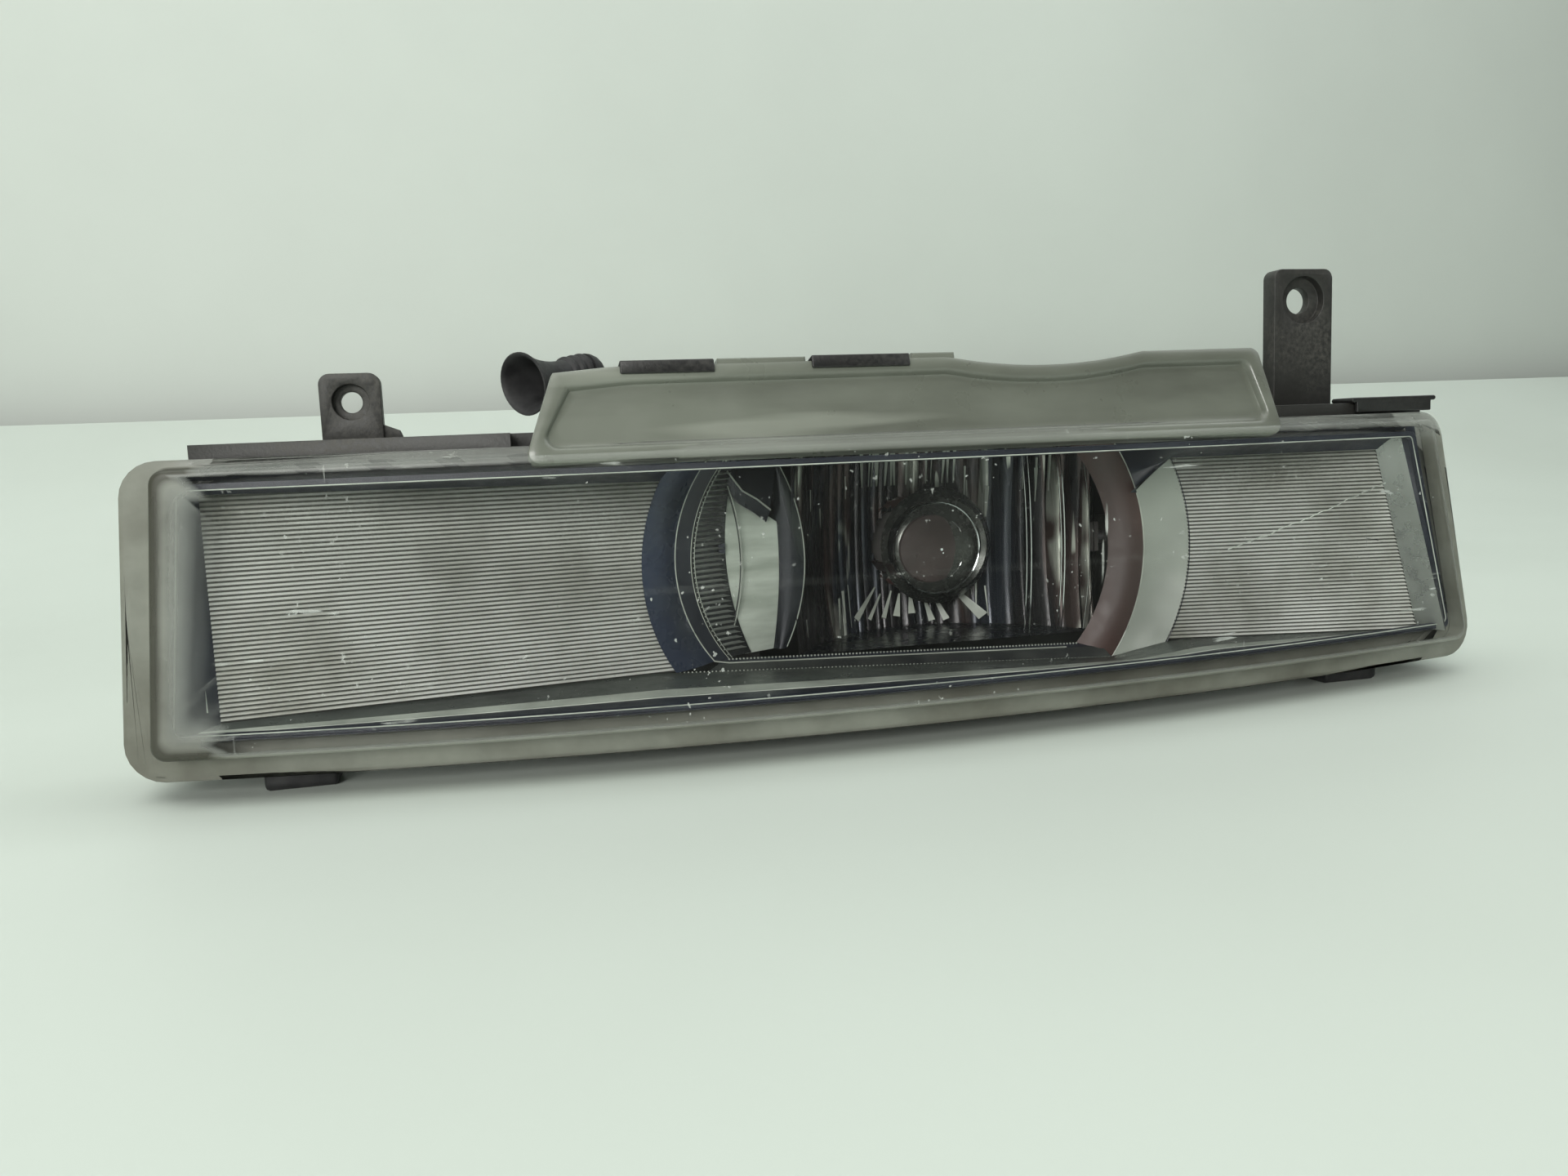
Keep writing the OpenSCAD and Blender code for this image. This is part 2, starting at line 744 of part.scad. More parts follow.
module reflector() {
    z0 = axis_z - refl_half;
    z1 = axis_z + refl_half;
    color(chrome) placed() difference() {
        union() {
            intersection() {
                bowl(refl_t, 1.2);
                box([-60, rim_y, z0 - 1.8], [120, vertex_y + 10, z1 + 1.8]);
            }
            // rim bead
            intersection() {
                bowl(refl_t, 4);
                box([-60, rim_y, z0 - 3], [120, rim_y + 2, z1 + 3]);
            }
            bar_y(collar_r, vertex_y - 4, collar_y - fit, axis_x, axis_z);
            // ears on the pivot pins
            for (s = [-1, 1])
                box([axis_x + s * 43 - 7.5, pivot_y - 3.5, axis_z - 4.5],
                    [axis_x + s * 43 + 7.5, pivot_y + 3.5, axis_z + 4.5]);
            // arm that carries the cross barrel nut
            box([aim_x - 4, rim_y + 1, z1 - 1], [aim_x + 4, pivot_y + 7, z1 + 4]);
            box([aim_x - 4, pivot_y - 7, z1], [aim_x + 4, pivot_y + 7, axis_z + aim_arm + 6]);
        }
        intersection() {
            bowl(0);
            box([-60, rim_y - 5, z0], [120, vertex_y + 10, z1]);
        }
        box([axis_x - rim_r, rim_y - 5, z0], [axis_x + rim_r, rim_y + 0.5, z1]);
        bar_y(base_r + fit, vertex_y - 8, collar_y + 1, axis_x, axis_z);
        bar_y(lug_r + 0.3, lug_y - 1.4, lug_y + 1.4, axis_x, axis_z);
        // entry slots for the bulb lugs
        for (a = [45 : 120 : 405])
            translate([axis_x, lug_y, axis_z]) rotate([0, a, 0])
                box([-3, -1.4, 0], [3, 12, lug_r + 0.3]);
        for (s = [-1, 1])
            bar_x(pivot_r + fit, axis_x + s * 43 - 20, axis_x + s * 43 + 20, pivot_y, axis_z);
        bar_x(barrel_r + 0.3, aim_x - 6, aim_x + 6, pivot_y, axis_z + aim_arm);
        bar_y(screw_r + 1, pivot_y - 9, pivot_y + 9, aim_x, axis_z + aim_arm);
        // slots for the legs of the shield
        for (a = leg_angles) leg(a, 0.15, vertex_y - 12, vertex_y + 6);
    }
}

// One leg of the bulb shield at an angle round the bulb axis, grown by g.
module leg(a, g, y0, y1) {
    translate([axis_x, 0, axis_z]) rotate([0, a, 0])
        box([-1.5 - g, y0, shield_r - 0.8 - g], [1.5 + g, y1, shield_r + g]);
}

module bulb_shield() {
    y0 = vertex_y - 28;
    color(chrome) placed() {
        difference() {
            bar_y(shield_r, y0, y0 + 8, axis_x, axis_z);
            bar_y(shield_r - 0.8, y0 + 0.8, y0 + 9, axis_x, axis_z);
        }
        for (a = leg_angles) leg(a, 0, y0 + 7, vertex_y + 4.5);
    }
}

// ---------- bulb ----------
module bulb_glass() {
    y0 = vertex_y - 24;
    color([0.9, 0.92, 0.95], 0.5) placed() difference() {
        union() {
            bar_y(5.5, y0 + 5, vertex_y - 1, axis_x, axis_z);
            translate([axis_x, y0 + 5, axis_z]) sphere(r = 5.5);
        }
        bar_y(4.6, y0 + 5, vertex_y - 3, axis_x, axis_z);
        translate([axis_x, y0 + 5, axis_z]) sphere(r = 4.6);
    }
}

module bulb_filament() {
    color(steel) placed() {
        bar_x(0.6, axis_x - 2.4, axis_x + 2.4, vertex_y - focal, axis_z);
        for (s = [-1, 1])
            box([axis_x + s * 2.1 - 0.25, vertex_y - focal, axis_z - 0.25],
                [axis_x + s * 2.1 + 0.25, vertex_y - 3, axis_z + 0.25]);
    }
}

module bulb_base() {
    color([0.35, 0.35, 0.33]) placed() {
        bar_y(7, vertex_y - 1, vertex_y + 2, axis_x, axis_z);
        bar_y(base_r, vertex_y + 2, collar_y + 1.5, axis_x, axis_z);
        intersection() {
            bar_y(lug_r, lug_y - 1, lug_y + 1, axis_x, axis_z);
            for (a = [0 : 120 : 240])
                translate([axis_x, lug_y, axis_z]) rotate([0, a, 0])
                    box([-2.5, -1, 0], [2.5, 1, lug_r + 2]);
        }
        difference() {
            union() {
                bar_y(13, collar_y + 1.5, collar_y + 5, axis_x, axis_z);
                slab(collar_y + 4, collar_y + 15)
                    rounded([[axis_x - 9, axis_z - 7], [axis_x + 9, axis_z - 7],
                             [axis_x + 9, axis_z + 7], [axis_x - 9, axis_z + 7]], 2);
            }
            slab(collar_y + 7, collar_y + 16)
                rounded([[axis_x - 7.4, axis_z - 5.4], [axis_x + 7.4, axis_z - 5.4],
                         [axis_x + 7.4, axis_z + 5.4], [axis_x - 7.4, axis_z + 5.4]], 1.4);
            bulb_blades(0.05);
        }
    }
}

// The two contact blades, grown by g.
module bulb_blades(g) {
    for (s = [-1, 1])
        box([axis_x + s * 3.4 - 1.2 - g, collar_y + 3, axis_z - 0.4 - g],
            [axis_x + s * 3.4 + 1.2 + g, collar_y + 13, axis_z + 0.4 + g]);
}

module bulb_seal() {
    color(rubber) placed() difference() {
        bar_y(12.6, collar_y + 0.05, collar_y + 1.5, axis_x, axis_z);
        bar_y(base_r, collar_y - 1, collar_y + 3, axis_x, axis_z);
    }
}

module bulb_terminals() {
    color(brass) placed() bulb_blades(0);
}

// ---------- rear cap ----------
module rear_cap() {
    skirt = neck_out + 0.4;
    color(black) placed() {
        difference() {
            union() {
                bar_y(skirt + 2.4, pod_depth + 1, neck_end + 5, axis_x, axis_z);
                box([axis_x - 26, neck_end + 4, axis_z - 3], [axis_x + 26, back_y, axis_z + 3]);
                // grip ribs round the skirt
                for (a = [0 : 15 : 345])
                    translate([axis_x, 0, axis_z]) rotate([0, a, 0])
                        box([-1, pod_depth + 2, skirt + 1], [1, neck_end + 4, skirt + 3.4]);
            }
            bar_y(skirt, pod_depth, neck_end + 2, axis_x, axis_z);
        }
        intersection() {
            bar_y(skirt + 1, cap_lug_y - 1, cap_lug_y + 1, axis_x, axis_z);
            difference() {
                for (a = [0 : 120 : 240])
                    translate([axis_x, cap_lug_y, axis_z]) rotate([0, a, 0])
                        box([-3.4, -1, 0], [3.4, 1, skirt + 2]);
                bar_y(neck_out - 0.9, cap_lug_y - 2, cap_lug_y + 2, axis_x, axis_z);
            }
        }
    }
}

module rear_cap_seal() {
    color(rubber) placed() difference() {
        bar_y(neck_out - 0.4, neck_end + 0.05, neck_end + 2, axis_x, axis_z);
        bar_y(neck_r + 0.4, neck_end - 1, neck_end + 3, axis_x, axis_z);
    }
}

housing();
housing_pod();
mounting_tabs();
lens();
lens_seal();
bezel_frame();
aperture_ring();
wing_reflector_left();
wing_reflector_right();
light_baffle();
bezel_screws();
apron_clips();
end_clip();
vent_trumpet();
connector_shell();
connector_pins();
pivot_pins();
adjuster_bush();
adjuster_screw();
adjuster_nut();
buffer_feet();
reflector();
bulb_shield();
bulb_glass();
bulb_filament();
bulb_base();
bulb_seal();
bulb_terminals();
rear_cap();
rear_cap_seal();
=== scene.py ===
"""Looks of a rectangular halogen fog lamp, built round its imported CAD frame.

Lengths in the shape code are millimetres in the lamp's own frame: X to the outboard end, -Y out of the
lens, Z up, y = 0 on the chord of the lens face. put() turns them into metres in the row frame.
"""
import bpy
import bmesh
import math
import random
from mathutils import Matrix, Vector


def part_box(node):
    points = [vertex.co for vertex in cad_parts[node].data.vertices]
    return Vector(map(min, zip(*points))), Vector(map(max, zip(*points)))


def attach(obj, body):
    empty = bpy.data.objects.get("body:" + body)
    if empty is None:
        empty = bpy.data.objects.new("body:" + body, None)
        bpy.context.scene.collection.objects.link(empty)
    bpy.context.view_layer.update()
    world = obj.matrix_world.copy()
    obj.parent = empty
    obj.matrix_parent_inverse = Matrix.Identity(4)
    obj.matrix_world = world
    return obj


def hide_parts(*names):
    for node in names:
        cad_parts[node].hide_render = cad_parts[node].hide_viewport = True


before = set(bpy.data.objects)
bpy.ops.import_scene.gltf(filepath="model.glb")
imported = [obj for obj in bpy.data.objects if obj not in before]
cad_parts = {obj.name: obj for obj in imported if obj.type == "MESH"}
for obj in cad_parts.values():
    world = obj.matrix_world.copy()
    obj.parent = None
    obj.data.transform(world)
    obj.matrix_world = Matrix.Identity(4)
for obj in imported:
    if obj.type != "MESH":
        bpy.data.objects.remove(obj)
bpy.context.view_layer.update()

# ---------------------------------------------------------------- driving sizes, mm
FACE_R = 798.0                      # plan radius of the lens face
FACE_HALF = 159.0                   # half of the chord that sets the radius's centre
FACE_TOP = 70.0                     # height of the face's top edge
# front-view corners of the face, and of the flange round it
FACE = ((-163.0, 10.5), (163.0, 10.5), (147.5, FACE_TOP), (-157.5, FACE_TOP))
RIM = ((-170.5, 4.5), (173.0, 4.5), (156.5, 72.0), (-165.0, 72.0))
LENS_T = 2.6                        # wall of the lens
FLANGE_BACK, FLANGE_T = 6.0, 4.0    # the flange's distance behind the face, and its thickness
INNER_TOP = 68.3                    # top of the bands behind the face
AXIS_X, AXIS_Z = 28.0, 40.0         # bulb axis
FOCAL, RIM_R, REFL_HALF = 14.0, 44.0, 25.0       # main reflector: focal length, half width, half height
RIM_Y = 38.0                        # depth of the main reflector's rim
APRON_X0, APRON_X1, APRON_TOP = -84.5, 97.5, 88.4
APRON_LEAN = 14.0                   # the apron leans back by this many degrees
APRON_TILT = 0.0065                 # fall of its top edge towards the inboard end
APRON_T = 4.0                       # height of its raised border over its back
VENT = (-64.0, 52.0, 91.6)          # elbow of the vent trumpet
VERTEX_Y = RIM_Y + RIM_R ** 2 / (4 * FOCAL)
SAGITTA = FACE_R - math.sqrt(FACE_R ** 2 - FACE_HALF ** 2)
ARC_Y = FACE_R - SAGITTA            # centre of the lens curve
FRONT_Y = -SAGITTA                  # foremost point of the lens
APRON_Y = FRONT_Y + 11.5
APRON_RISE = (APRON_TOP - FACE_TOP) / math.cos(math.radians(APRON_LEAN))

lens_low, lens_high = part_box("lens")
refl_low, refl_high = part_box("reflector")
SHIFT = Vector(((refl_low.x + refl_high.x) / 2 - AXIS_X / 1000, lens_low.y - FRONT_Y / 1000, 0.0))


def put(x, y, z):
    """A lamp-frame point in mm as a row-frame point in metres."""
    return Vector((x, y, z)) / 1000 + SHIFT


def curve_y(x, r=FACE_R):
    """Depth of the lens curve of plan radius r at x."""
    return ARC_Y - math.sqrt(r * r - x * x)


# ---------------------------------------------------------------- mesh helpers
def new_object(name, verts, faces, material, smooth=True):
    mesh = bpy.data.meshes.new(name)
    mesh.from_pydata([put(*v) for v in verts], [], faces)
    mesh.validate()
    bm = bmesh.new()
    bm.from_mesh(mesh)
    bmesh.ops.remove_doubles(bm, verts=bm.verts, dist=1e-6)
    bmesh.ops.recalc_face_normals(bm, faces=bm.faces)
    bm.to_mesh(mesh)
    bm.free()
    obj = bpy.data.objects.new(name, mesh)
    bpy.context.scene.collection.objects.link(obj)
    mesh.materials.append(material)
    if smooth:
        shade(obj)
    return obj


def shade(obj, angle=35):
    """Smooth shading with sharp edges kept above the angle."""
    mesh = obj.data
    mesh.polygons.foreach_set("use_smooth", [True] * len(mesh.polygons))
    bm = bmesh.new()
    bm.from_mesh(mesh)
    for e in bm.edges:
        e.smooth = len(e.link_faces) == 2 and e.calc_face_angle(0) < math.radians(angle)
    bm.to_mesh(mesh)
    bm.free()


class Build:
    """Collects vertices and faces of one piece."""

    def __init__(self):
        self.verts = []
        self.faces = []

    def add(self, verts, faces):
        base = len(self.verts)
        self.verts += [tuple(v) for v in verts]
        self.faces += [tuple(base + i for i in f) for f in faces]

    def loft(self, loops, close=True, cap_first=False, cap_last=False):
        """Joins loops of equal length; close also joins each loop's last point to its first."""
        n = len(loops[0])
        verts = [p for loop in loops for p in loop]
        faces = []
        for j in range(len(loops) - 1):
            for i in range(n if close else n - 1):
                k = (i + 1) % n
                faces.append((j * n + i, j * n + k, (j + 1) * n + k, (j + 1) * n + i))
        if cap_first:
            faces.append(tuple(range(n))[::-1])
        if cap_last:
            faces.append(tuple((len(loops) - 1) * n + i for i in range(n)))
        self.add(verts, faces)

    def tube(self, points, radius, sides=8):
        """A round bar along a polyline of lamp-frame points."""
        pts = [Vector(p) for p in points]
        loops = []
        for i, p in enumerate(pts):
            along = (pts[min(i + 1, len(pts) - 1)] - pts[max(i - 1, 0)]).normalized()
            side = along.cross(Vector((0, 0, 1)) if abs(along.z) < 0.9 else Vector((0, 1, 0))).normalized()
            up = side.cross(along)
            loops.append([p + radius * (math.cos(a) * side + math.sin(a) * up)
                          for a in (2 * math.pi * k / sides for k in range(sides))])
        self.loft(loops, cap_first=True, cap_last=True)

    def box(self, low, high):
        (x0, y0, z0), (x1, y1, z1) = low, high
        verts = [(x, y, z) for x in (x0, x1) for y in (y0, y1) for z in (z0, z1)]
        self.add(verts, [(0, 1, 3, 2), (4, 6, 7, 5), (0, 4, 5, 1), (2, 3, 7, 6), (0, 2, 6, 4), (1, 5, 7, 3)])

    def bead(self, centre, radius, rings=4, sides=8):
        """A small ball."""
        c = Vector(centre)
        loops = []
        for j in range(1, rings):
            t = math.pi * j / rings
            ring, lift = radius * math.sin(t), radius * math.cos(t)
            loops.append([c + Vector((ring * math.cos(a), lift, ring * math.sin(a)))
                          for a in (2 * math.pi * k / sides for k in range(sides))])
        self.loft(loops, cap_first=True, cap_last=True)

    def revolve(self, profile, place, sides=48, cap=True):
        """Turns a (radius, height) profile about a local axis; place maps a local point to the lamp frame."""
        loops = [[place(r * math.cos(a), r * math.sin(a), h)
                  for a in (2 * math.pi * k / sides for k in range(sides))] for r, h in profile]
        self.loft(loops, cap_first=cap, cap_last=cap)

    def make(self, name, material, smooth=True):
        return new_object(name, self.verts, self.faces, material, smooth)


def outline(corners, g, radius, spacing=4.0, arc_steps=6):
    """Closed front-view outline of (x, z) points, shrunk by g, with round corners; g keeps their count."""
    signs = ((1, 1), (-1, 1), (-1, -1), (1, -1))
    pts = [Vector((c[0] + s[0] * g, c[1] + s[1] * g)) for c, s in zip(corners, signs)]
    rows = []
    for i, p in enumerate(pts):
        a = (pts[i - 1] - p).normalized()
        b = (pts[(i + 1) % 4] - p).normalized()
        half = a.angle(b) / 2
        centre = p + (a + b).normalized() * radius / math.sin(half)
        start = p + a * radius / math.tan(half) - centre
        end = p + b * radius / math.tan(half) - centre
        turn = (math.atan2(end.y, end.x) - math.atan2(start.y, start.x) + math.pi) % (2 * math.pi) - math.pi
        rows.append([centre + Matrix.Rotation(turn * k / arc_steps, 2) @ start for k in range(arc_steps + 1)])
    out = []
    for i in range(4):
        out += rows[i]
        length = (Vector(corners[(i + 1) % 4]) - Vector(corners[i])).length
        steps = max(2, round(length / spacing))
        p, q = rows[i][-1], rows[(i + 1) % 4][0]
        out += [p.lerp(q, k / steps) for k in range(1, steps)]
    return [(v.x, v.y) for v in out]


def on_curve(loop, r):
    """Front-view points laid on the lens curve of plan radius r."""
    return [(x, curve_y(x, r), z) for x, z in loop]


# ---------------------------------------------------------------- material helpers
class Nodes:
    """Short-hand for building a node material round one Principled shader."""

    def __init__(self, name):
        self.mat = bpy.data.materials.new(name)
        self.mat.use_nodes = True
        self.tree = self.mat.node_tree
        self.bsdf = self.tree.nodes["Principled BSDF"]

    def node(self, kind, **values):
        n = self.tree.nodes.new(kind)
        for key, value in values.items():
            if key in n.inputs.keys():
                n.inputs[key].default_value = value
            else:
                setattr(n, key, value)
        return n

    def link(self, a, b):
        self.tree.links.new(a, b)

    def set(self, **values):
        for key, value in values.items():
            self.bsdf.inputs[key.replace("_", " ")].default_value = value

    def coords(self, scale=(1, 1, 1)):
        tex = self.node("ShaderNodeTexCoord")
        mapping = self.node("ShaderNodeMapping")
        mapping.inputs["Scale"].default_value = scale
        self.link(tex.outputs["Object"], mapping.inputs["Vector"])
        return mapping.outputs["Vector"]

    def noise(self, scale, detail=4.0, rough=0.55, stretch=(1, 1, 1)):
        n = self.node("ShaderNodeTexNoise")
        n.inputs["Scale"].default_value = scale
        n.inputs["Detail"].default_value = detail
        n.inputs["Roughness"].default_value = rough
        self.link(self.coords(stretch), n.inputs["Vector"])
        return n.outputs["Fac"]

    def ramp(self, value, low, high, a=0.0, b=1.0):
        """Maps value from low..high to a..b, clamped."""
        n = self.node("ShaderNodeMapRange")
        n.clamp = True
        for key, v in (("From Min", low), ("From Max", high), ("To Min", a), ("To Max", b)):
            n.inputs[key].default_value = v
        self.link(value, n.inputs["Value"])
        return n.outputs["Result"]

    def mix(self, fac, a, b):
        """Colour a to colour b by fac; each is a colour or an output."""
        n = self.node("ShaderNodeMix")
        n.data_type = "RGBA"
        self.link(fac, n.inputs[0])
        for value, socket in ((a, n.inputs[6]), (b, n.inputs[7])):
            if isinstance(value, (tuple, list)):
                socket.default_value = (*value, 1.0)
            else:
                self.link(value, socket)
        return n.outputs[2]

    def math(self, op, a, b=None):
        n = self.node("ShaderNodeMath")
        n.operation = op
        for value, socket in ((a, n.inputs[0]), (b, n.inputs[1])):
            if value is None:
                continue
            if isinstance(value, (int, float)):
                socket.default_value = value
            else:
                self.link(value, socket)
        return n.outputs[0]

    def bump(self, height, strength, distance):
        n = self.node("ShaderNodeBump")
        n.inputs["Strength"].default_value = strength
        n.inputs["Distance"].default_value = distance
        self.link(height, n.inputs["Height"])
        self.link(n.outputs["Normal"], self.bsdf.inputs["Normal"])


def black_plastic(name, base=(0.022, 0.022, 0.020), dust=(0.20, 0.19, 0.165), amount=0.35, rough=0.48):
    """Moulded black plastic with spark grain, grey dust that settles in patches, and rubbed spots."""
    m = Nodes(name)
    patches = m.ramp(m.noise(38, 6), 0.42, 0.72)
    fine = m.ramp(m.noise(900, 2), 0.35, 0.75)
    geo = m.node("ShaderNodeNewGeometry")
    split = m.node("ShaderNodeSeparateXYZ")
    m.link(geo.outputs["Normal"], split.inputs["Vector"])
    upward = m.ramp(split.outputs["Z"], -0.2, 1.0, 0.35, 1.0)
    dusty = m.math("MULTIPLY", m.math("MULTIPLY", patches, upward), m.math("MULTIPLY", fine, amount * 2))
    m.link(m.mix(dusty, base, dust), m.bsdf.inputs["Base Color"])
    m.link(m.ramp(dusty, 0, 0.6, rough, 0.85), m.bsdf.inputs["Roughness"])
    m.bump(m.noise(1600, 2), 0.25, 0.0002)
    return m.mat


def rubber(name):
    """Matt black rubber with a grey bloom."""
    m = Nodes(name)
    bloom = m.ramp(m.noise(120, 5), 0.4, 0.75, 0.0, 0.5)
    m.link(m.mix(bloom, (0.012, 0.012, 0.013), (0.07, 0.07, 0.07)), m.bsdf.inputs["Base Color"])
    m.link(m.ramp(m.noise(300, 3), 0.3, 0.7, 0.5, 0.75), m.bsdf.inputs["Roughness"])
    m.bump(m.noise(2200, 2), 0.2, 0.0001)
    return m.mat


def mirror(name, base=(0.80, 0.82, 0.82), haze=(0.55, 0.57, 0.53), rough=0.06, haze_amount=0.3, ripple=0.0):
    """Vacuum-coated reflector: bright metal with a faint dusty haze."""
    m = Nodes(name)
    cloud = m.ramp(m.noise(45, 5), 0.38, 0.72, 0.0, haze_amount)
    m.link(m.mix(cloud, base, haze), m.bsdf.inputs["Base Color"])
    m.link(m.ramp(cloud, 0.0, 0.5, rough, rough + 0.22), m.bsdf.inputs["Roughness"])
    m.set(Metallic=1.0)
    if ripple:
        m.bump(m.noise(60, 2), ripple, 0.002)
    return m.mat


def plain_metal(name, base, rough):
    """Turned or plated metal with fine brushing and dull spots."""
    m = Nodes(name)
    grain = m.noise(600, 3, stretch=(1, 6, 1))
    m.link(m.mix(m.ramp(grain, 0.3, 0.7), base, tuple(c * 0.7 for c in base)), m.bsdf.inputs["Base Color"])
    m.link(m.ramp(m.noise(90, 4), 0.3, 0.7, rough, rough + 0.2), m.bsdf.inputs["Roughness"])
    m.set(Metallic=1.0)
    return m.mat


def white_nylon(name):
    """Natural nylon, slightly waxy and yellowed."""
    m = Nodes(name)
    m.link(m.mix(m.ramp(m.noise(60, 4), 0.35, 0.7), (0.72, 0.71, 0.66), (0.60, 0.57, 0.48)),
           m.bsdf.inputs["Base Color"])
    m.link(m.ramp(m.noise(200, 3), 0.3, 0.7, 0.35, 0.55), m.bsdf.inputs["Roughness"])
    return m.mat


def clear_glass(name):
    """Thin clear bulb glass: mostly see-through, with a Fresnel sheen and a little grime."""
    m = Nodes(name)
    fres = m.node("ShaderNodeFresnel")
    fres.inputs["IOR"].default_value = 1.5
    grime = m.ramp(m.noise(150, 4), 0.45, 0.8, 0.05, 0.2)
    m.link(m.math("MAXIMUM", grime, m.math("MULTIPLY", fres.outputs[0], 1.2)), m.bsdf.inputs["Alpha"])
    m.link(m.mix(grime, (0.75, 0.77, 0.78), (0.6, 0.6, 0.55)), m.bsdf.inputs["Base Color"])
    m.set(Roughness=0.05)
    return m.mat


def scratches(m, scale, stretch, low, high, angle):
    """Thin streaks: a stretched noise squeezed to lines, turned by angle in the face plane."""
    tex = m.node("ShaderNodeTexCoord")
    mapping = m.node("ShaderNodeMapping")
    mapping.inputs["Rotation"].default_value = (0, math.radians(angle), 0)
    mapping.inputs["Scale"].default_value = stretch
    m.link(tex.outputs["Object"], mapping.inputs["Vector"])
    n = m.node("ShaderNodeTexNoise")
    n.inputs["Scale"].default_value = scale
    n.inputs["Detail"].default_value = 2
    m.link(mapping.outputs["Vector"], n.inputs["Vector"])
    return m.ramp(n.outputs["Fac"], low, high)


def lens_material():
    """Worn clear plastic; the vertex attribute "frost" turns it into the frosted, yellowed flange."""
    m = Nodes("lens_plastic")
    attr = m.node("ShaderNodeAttribute")
    attr.attribute_name = "frost"
    frost = attr.outputs["Fac"]
    haze = m.ramp(m.noise(28, 6), 0.45, 0.75, 0.0, 0.02)
    specks = m.ramp(m.noise(620, 2), 0.69, 0.71, 0.0, 0.9)
    patch = m.ramp(m.noise(55, 4), 0.47, 0.60)
    long_lines = scratches(m, 260, (0.08, 1, 1.4), 0.70, 0.72, 24)
    cross_lines = scratches(m, 240, (1.2, 1, 0.10), 0.715, 0.735, -12)
    marks = m.math("MULTIPLY", m.math("MAXIMUM", specks, m.math("MAXIMUM", long_lines, cross_lines)), patch)
    marks = m.math("MULTIPLY", marks, 0.75)
    fres = m.node("ShaderNodeFresnel")
    fres.inputs["IOR"].default_value = 1.45
    clear = m.math("ADD", m.math("ADD", haze, 0.004), m.math("MULTIPLY", fres.outputs[0], 0.25))
    geo = m.node("ShaderNodeNewGeometry")
    front = m.math("SUBTRACT", 1.0, geo.outputs["Backfacing"])
    clear = m.math("MULTIPLY", m.math("MAXIMUM", clear, marks), front)
    cloudy = m.ramp(m.noise(70, 5), 0.3, 0.75, 0.66, 0.93)
    alpha_mix = m.node("ShaderNodeMix")
    m.link(frost, alpha_mix.inputs[0])
    m.link(clear, alpha_mix.inputs[2])
    m.link(cloudy, alpha_mix.inputs[3])
    m.link(alpha_mix.outputs[0], m.bsdf.inputs["Alpha"])
    grime = m.ramp(m.noise(24, 5, stretch=(1, 1, 1.6)), 0.42, 0.70)
    wall = m.node("ShaderNodeAttribute")
    wall.attribute_name = "wall"
    frosted = m.mix(grime, (0.255, 0.265, 0.225), (0.13, 0.128, 0.10))
    frosted = m.mix(wall.outputs["Fac"], frosted, (0.050, 0.050, 0.036))
    m.link(m.mix(frost, (0.52, 0.55, 0.52), frosted), m.bsdf.inputs["Base Color"])
    m.link(m.ramp(frost, 0, 1, 0.12, 0.42), m.bsdf.inputs["Roughness"])
    m.set(IOR=1.5)
    m.bump(m.noise(500, 3), 0.12, 0.0002)
    return m.mat


def apron_material():
    """Frosted grey-green apron, streaked with road film."""
    m = Nodes("apron_plastic")
    film = m.ramp(m.noise(30, 5, stretch=(0.5, 1, 2.0)), 0.38, 0.70)
    wisps = scratches(m, 90, (0.12, 1, 1.4), 0.60, 0.70, 6)
    colour = m.mix(film, (0.165, 0.178, 0.148), (0.10, 0.107, 0.088))
    m.link(m.mix(m.math("MULTIPLY", wisps, 0.35), colour, (0.36, 0.38, 0.33)), m.bsdf.inputs["Base Color"])
    m.link(m.ramp(m.noise(120, 4), 0.3, 0.7, 0.26, 0.42), m.bsdf.inputs["Roughness"])
    m.set(Coat_Weight=0.25)
    m.bump(m.noise(400, 3), 0.12, 0.0002)
    return m.mat


def streaked(name, dark, mid, light, scale, rough=0.18):
    """Coated inner wall with a painted reflection of the room: upright streaks of dark, brown and pale, and
    painted highlights.
    """
    m = Nodes(name)
    wide = m.noise(scale, 1, stretch=(1, 1, 0.12))
    fine = m.noise(scale * 2.6, 1, stretch=(1, 1, 0.07))
    warm = m.noise(scale * 0.5, 2, stretch=(1, 1, 0.25))
    colour = m.mix(m.ramp(wide, 0.50, 0.58), dark, mid)
    colour = m.mix(m.ramp(warm, 0.52, 0.60), colour, (0.02, 0.025, 0.034))
    # painted highlights: broad pale streaks and fine glints laid into the base colour
    broad_patch = m.ramp(m.noise(70, 2, stretch=(1, 1, 0.6)), 0.46, 0.56)
    broad = m.math("MULTIPLY", m.ramp(wide, 0.60, 0.63), broad_patch)
    glint_patch = m.ramp(m.noise(90, 2, stretch=(1, 1, 0.5)), 0.50, 0.58)
    glint = m.math("MULTIPLY", m.ramp(fine, 0.66, 0.69), glint_patch)
    m.link(m.mix(m.math("MAXIMUM", m.math("MULTIPLY", broad, 0.55), glint), colour, light),
           m.bsdf.inputs["Base Color"])
    m.link(m.ramp(fine, 0.3, 0.7, rough, rough + 0.15), m.bsdf.inputs["Roughness"])
    m.set(Metallic=0.4)
    return m.mat


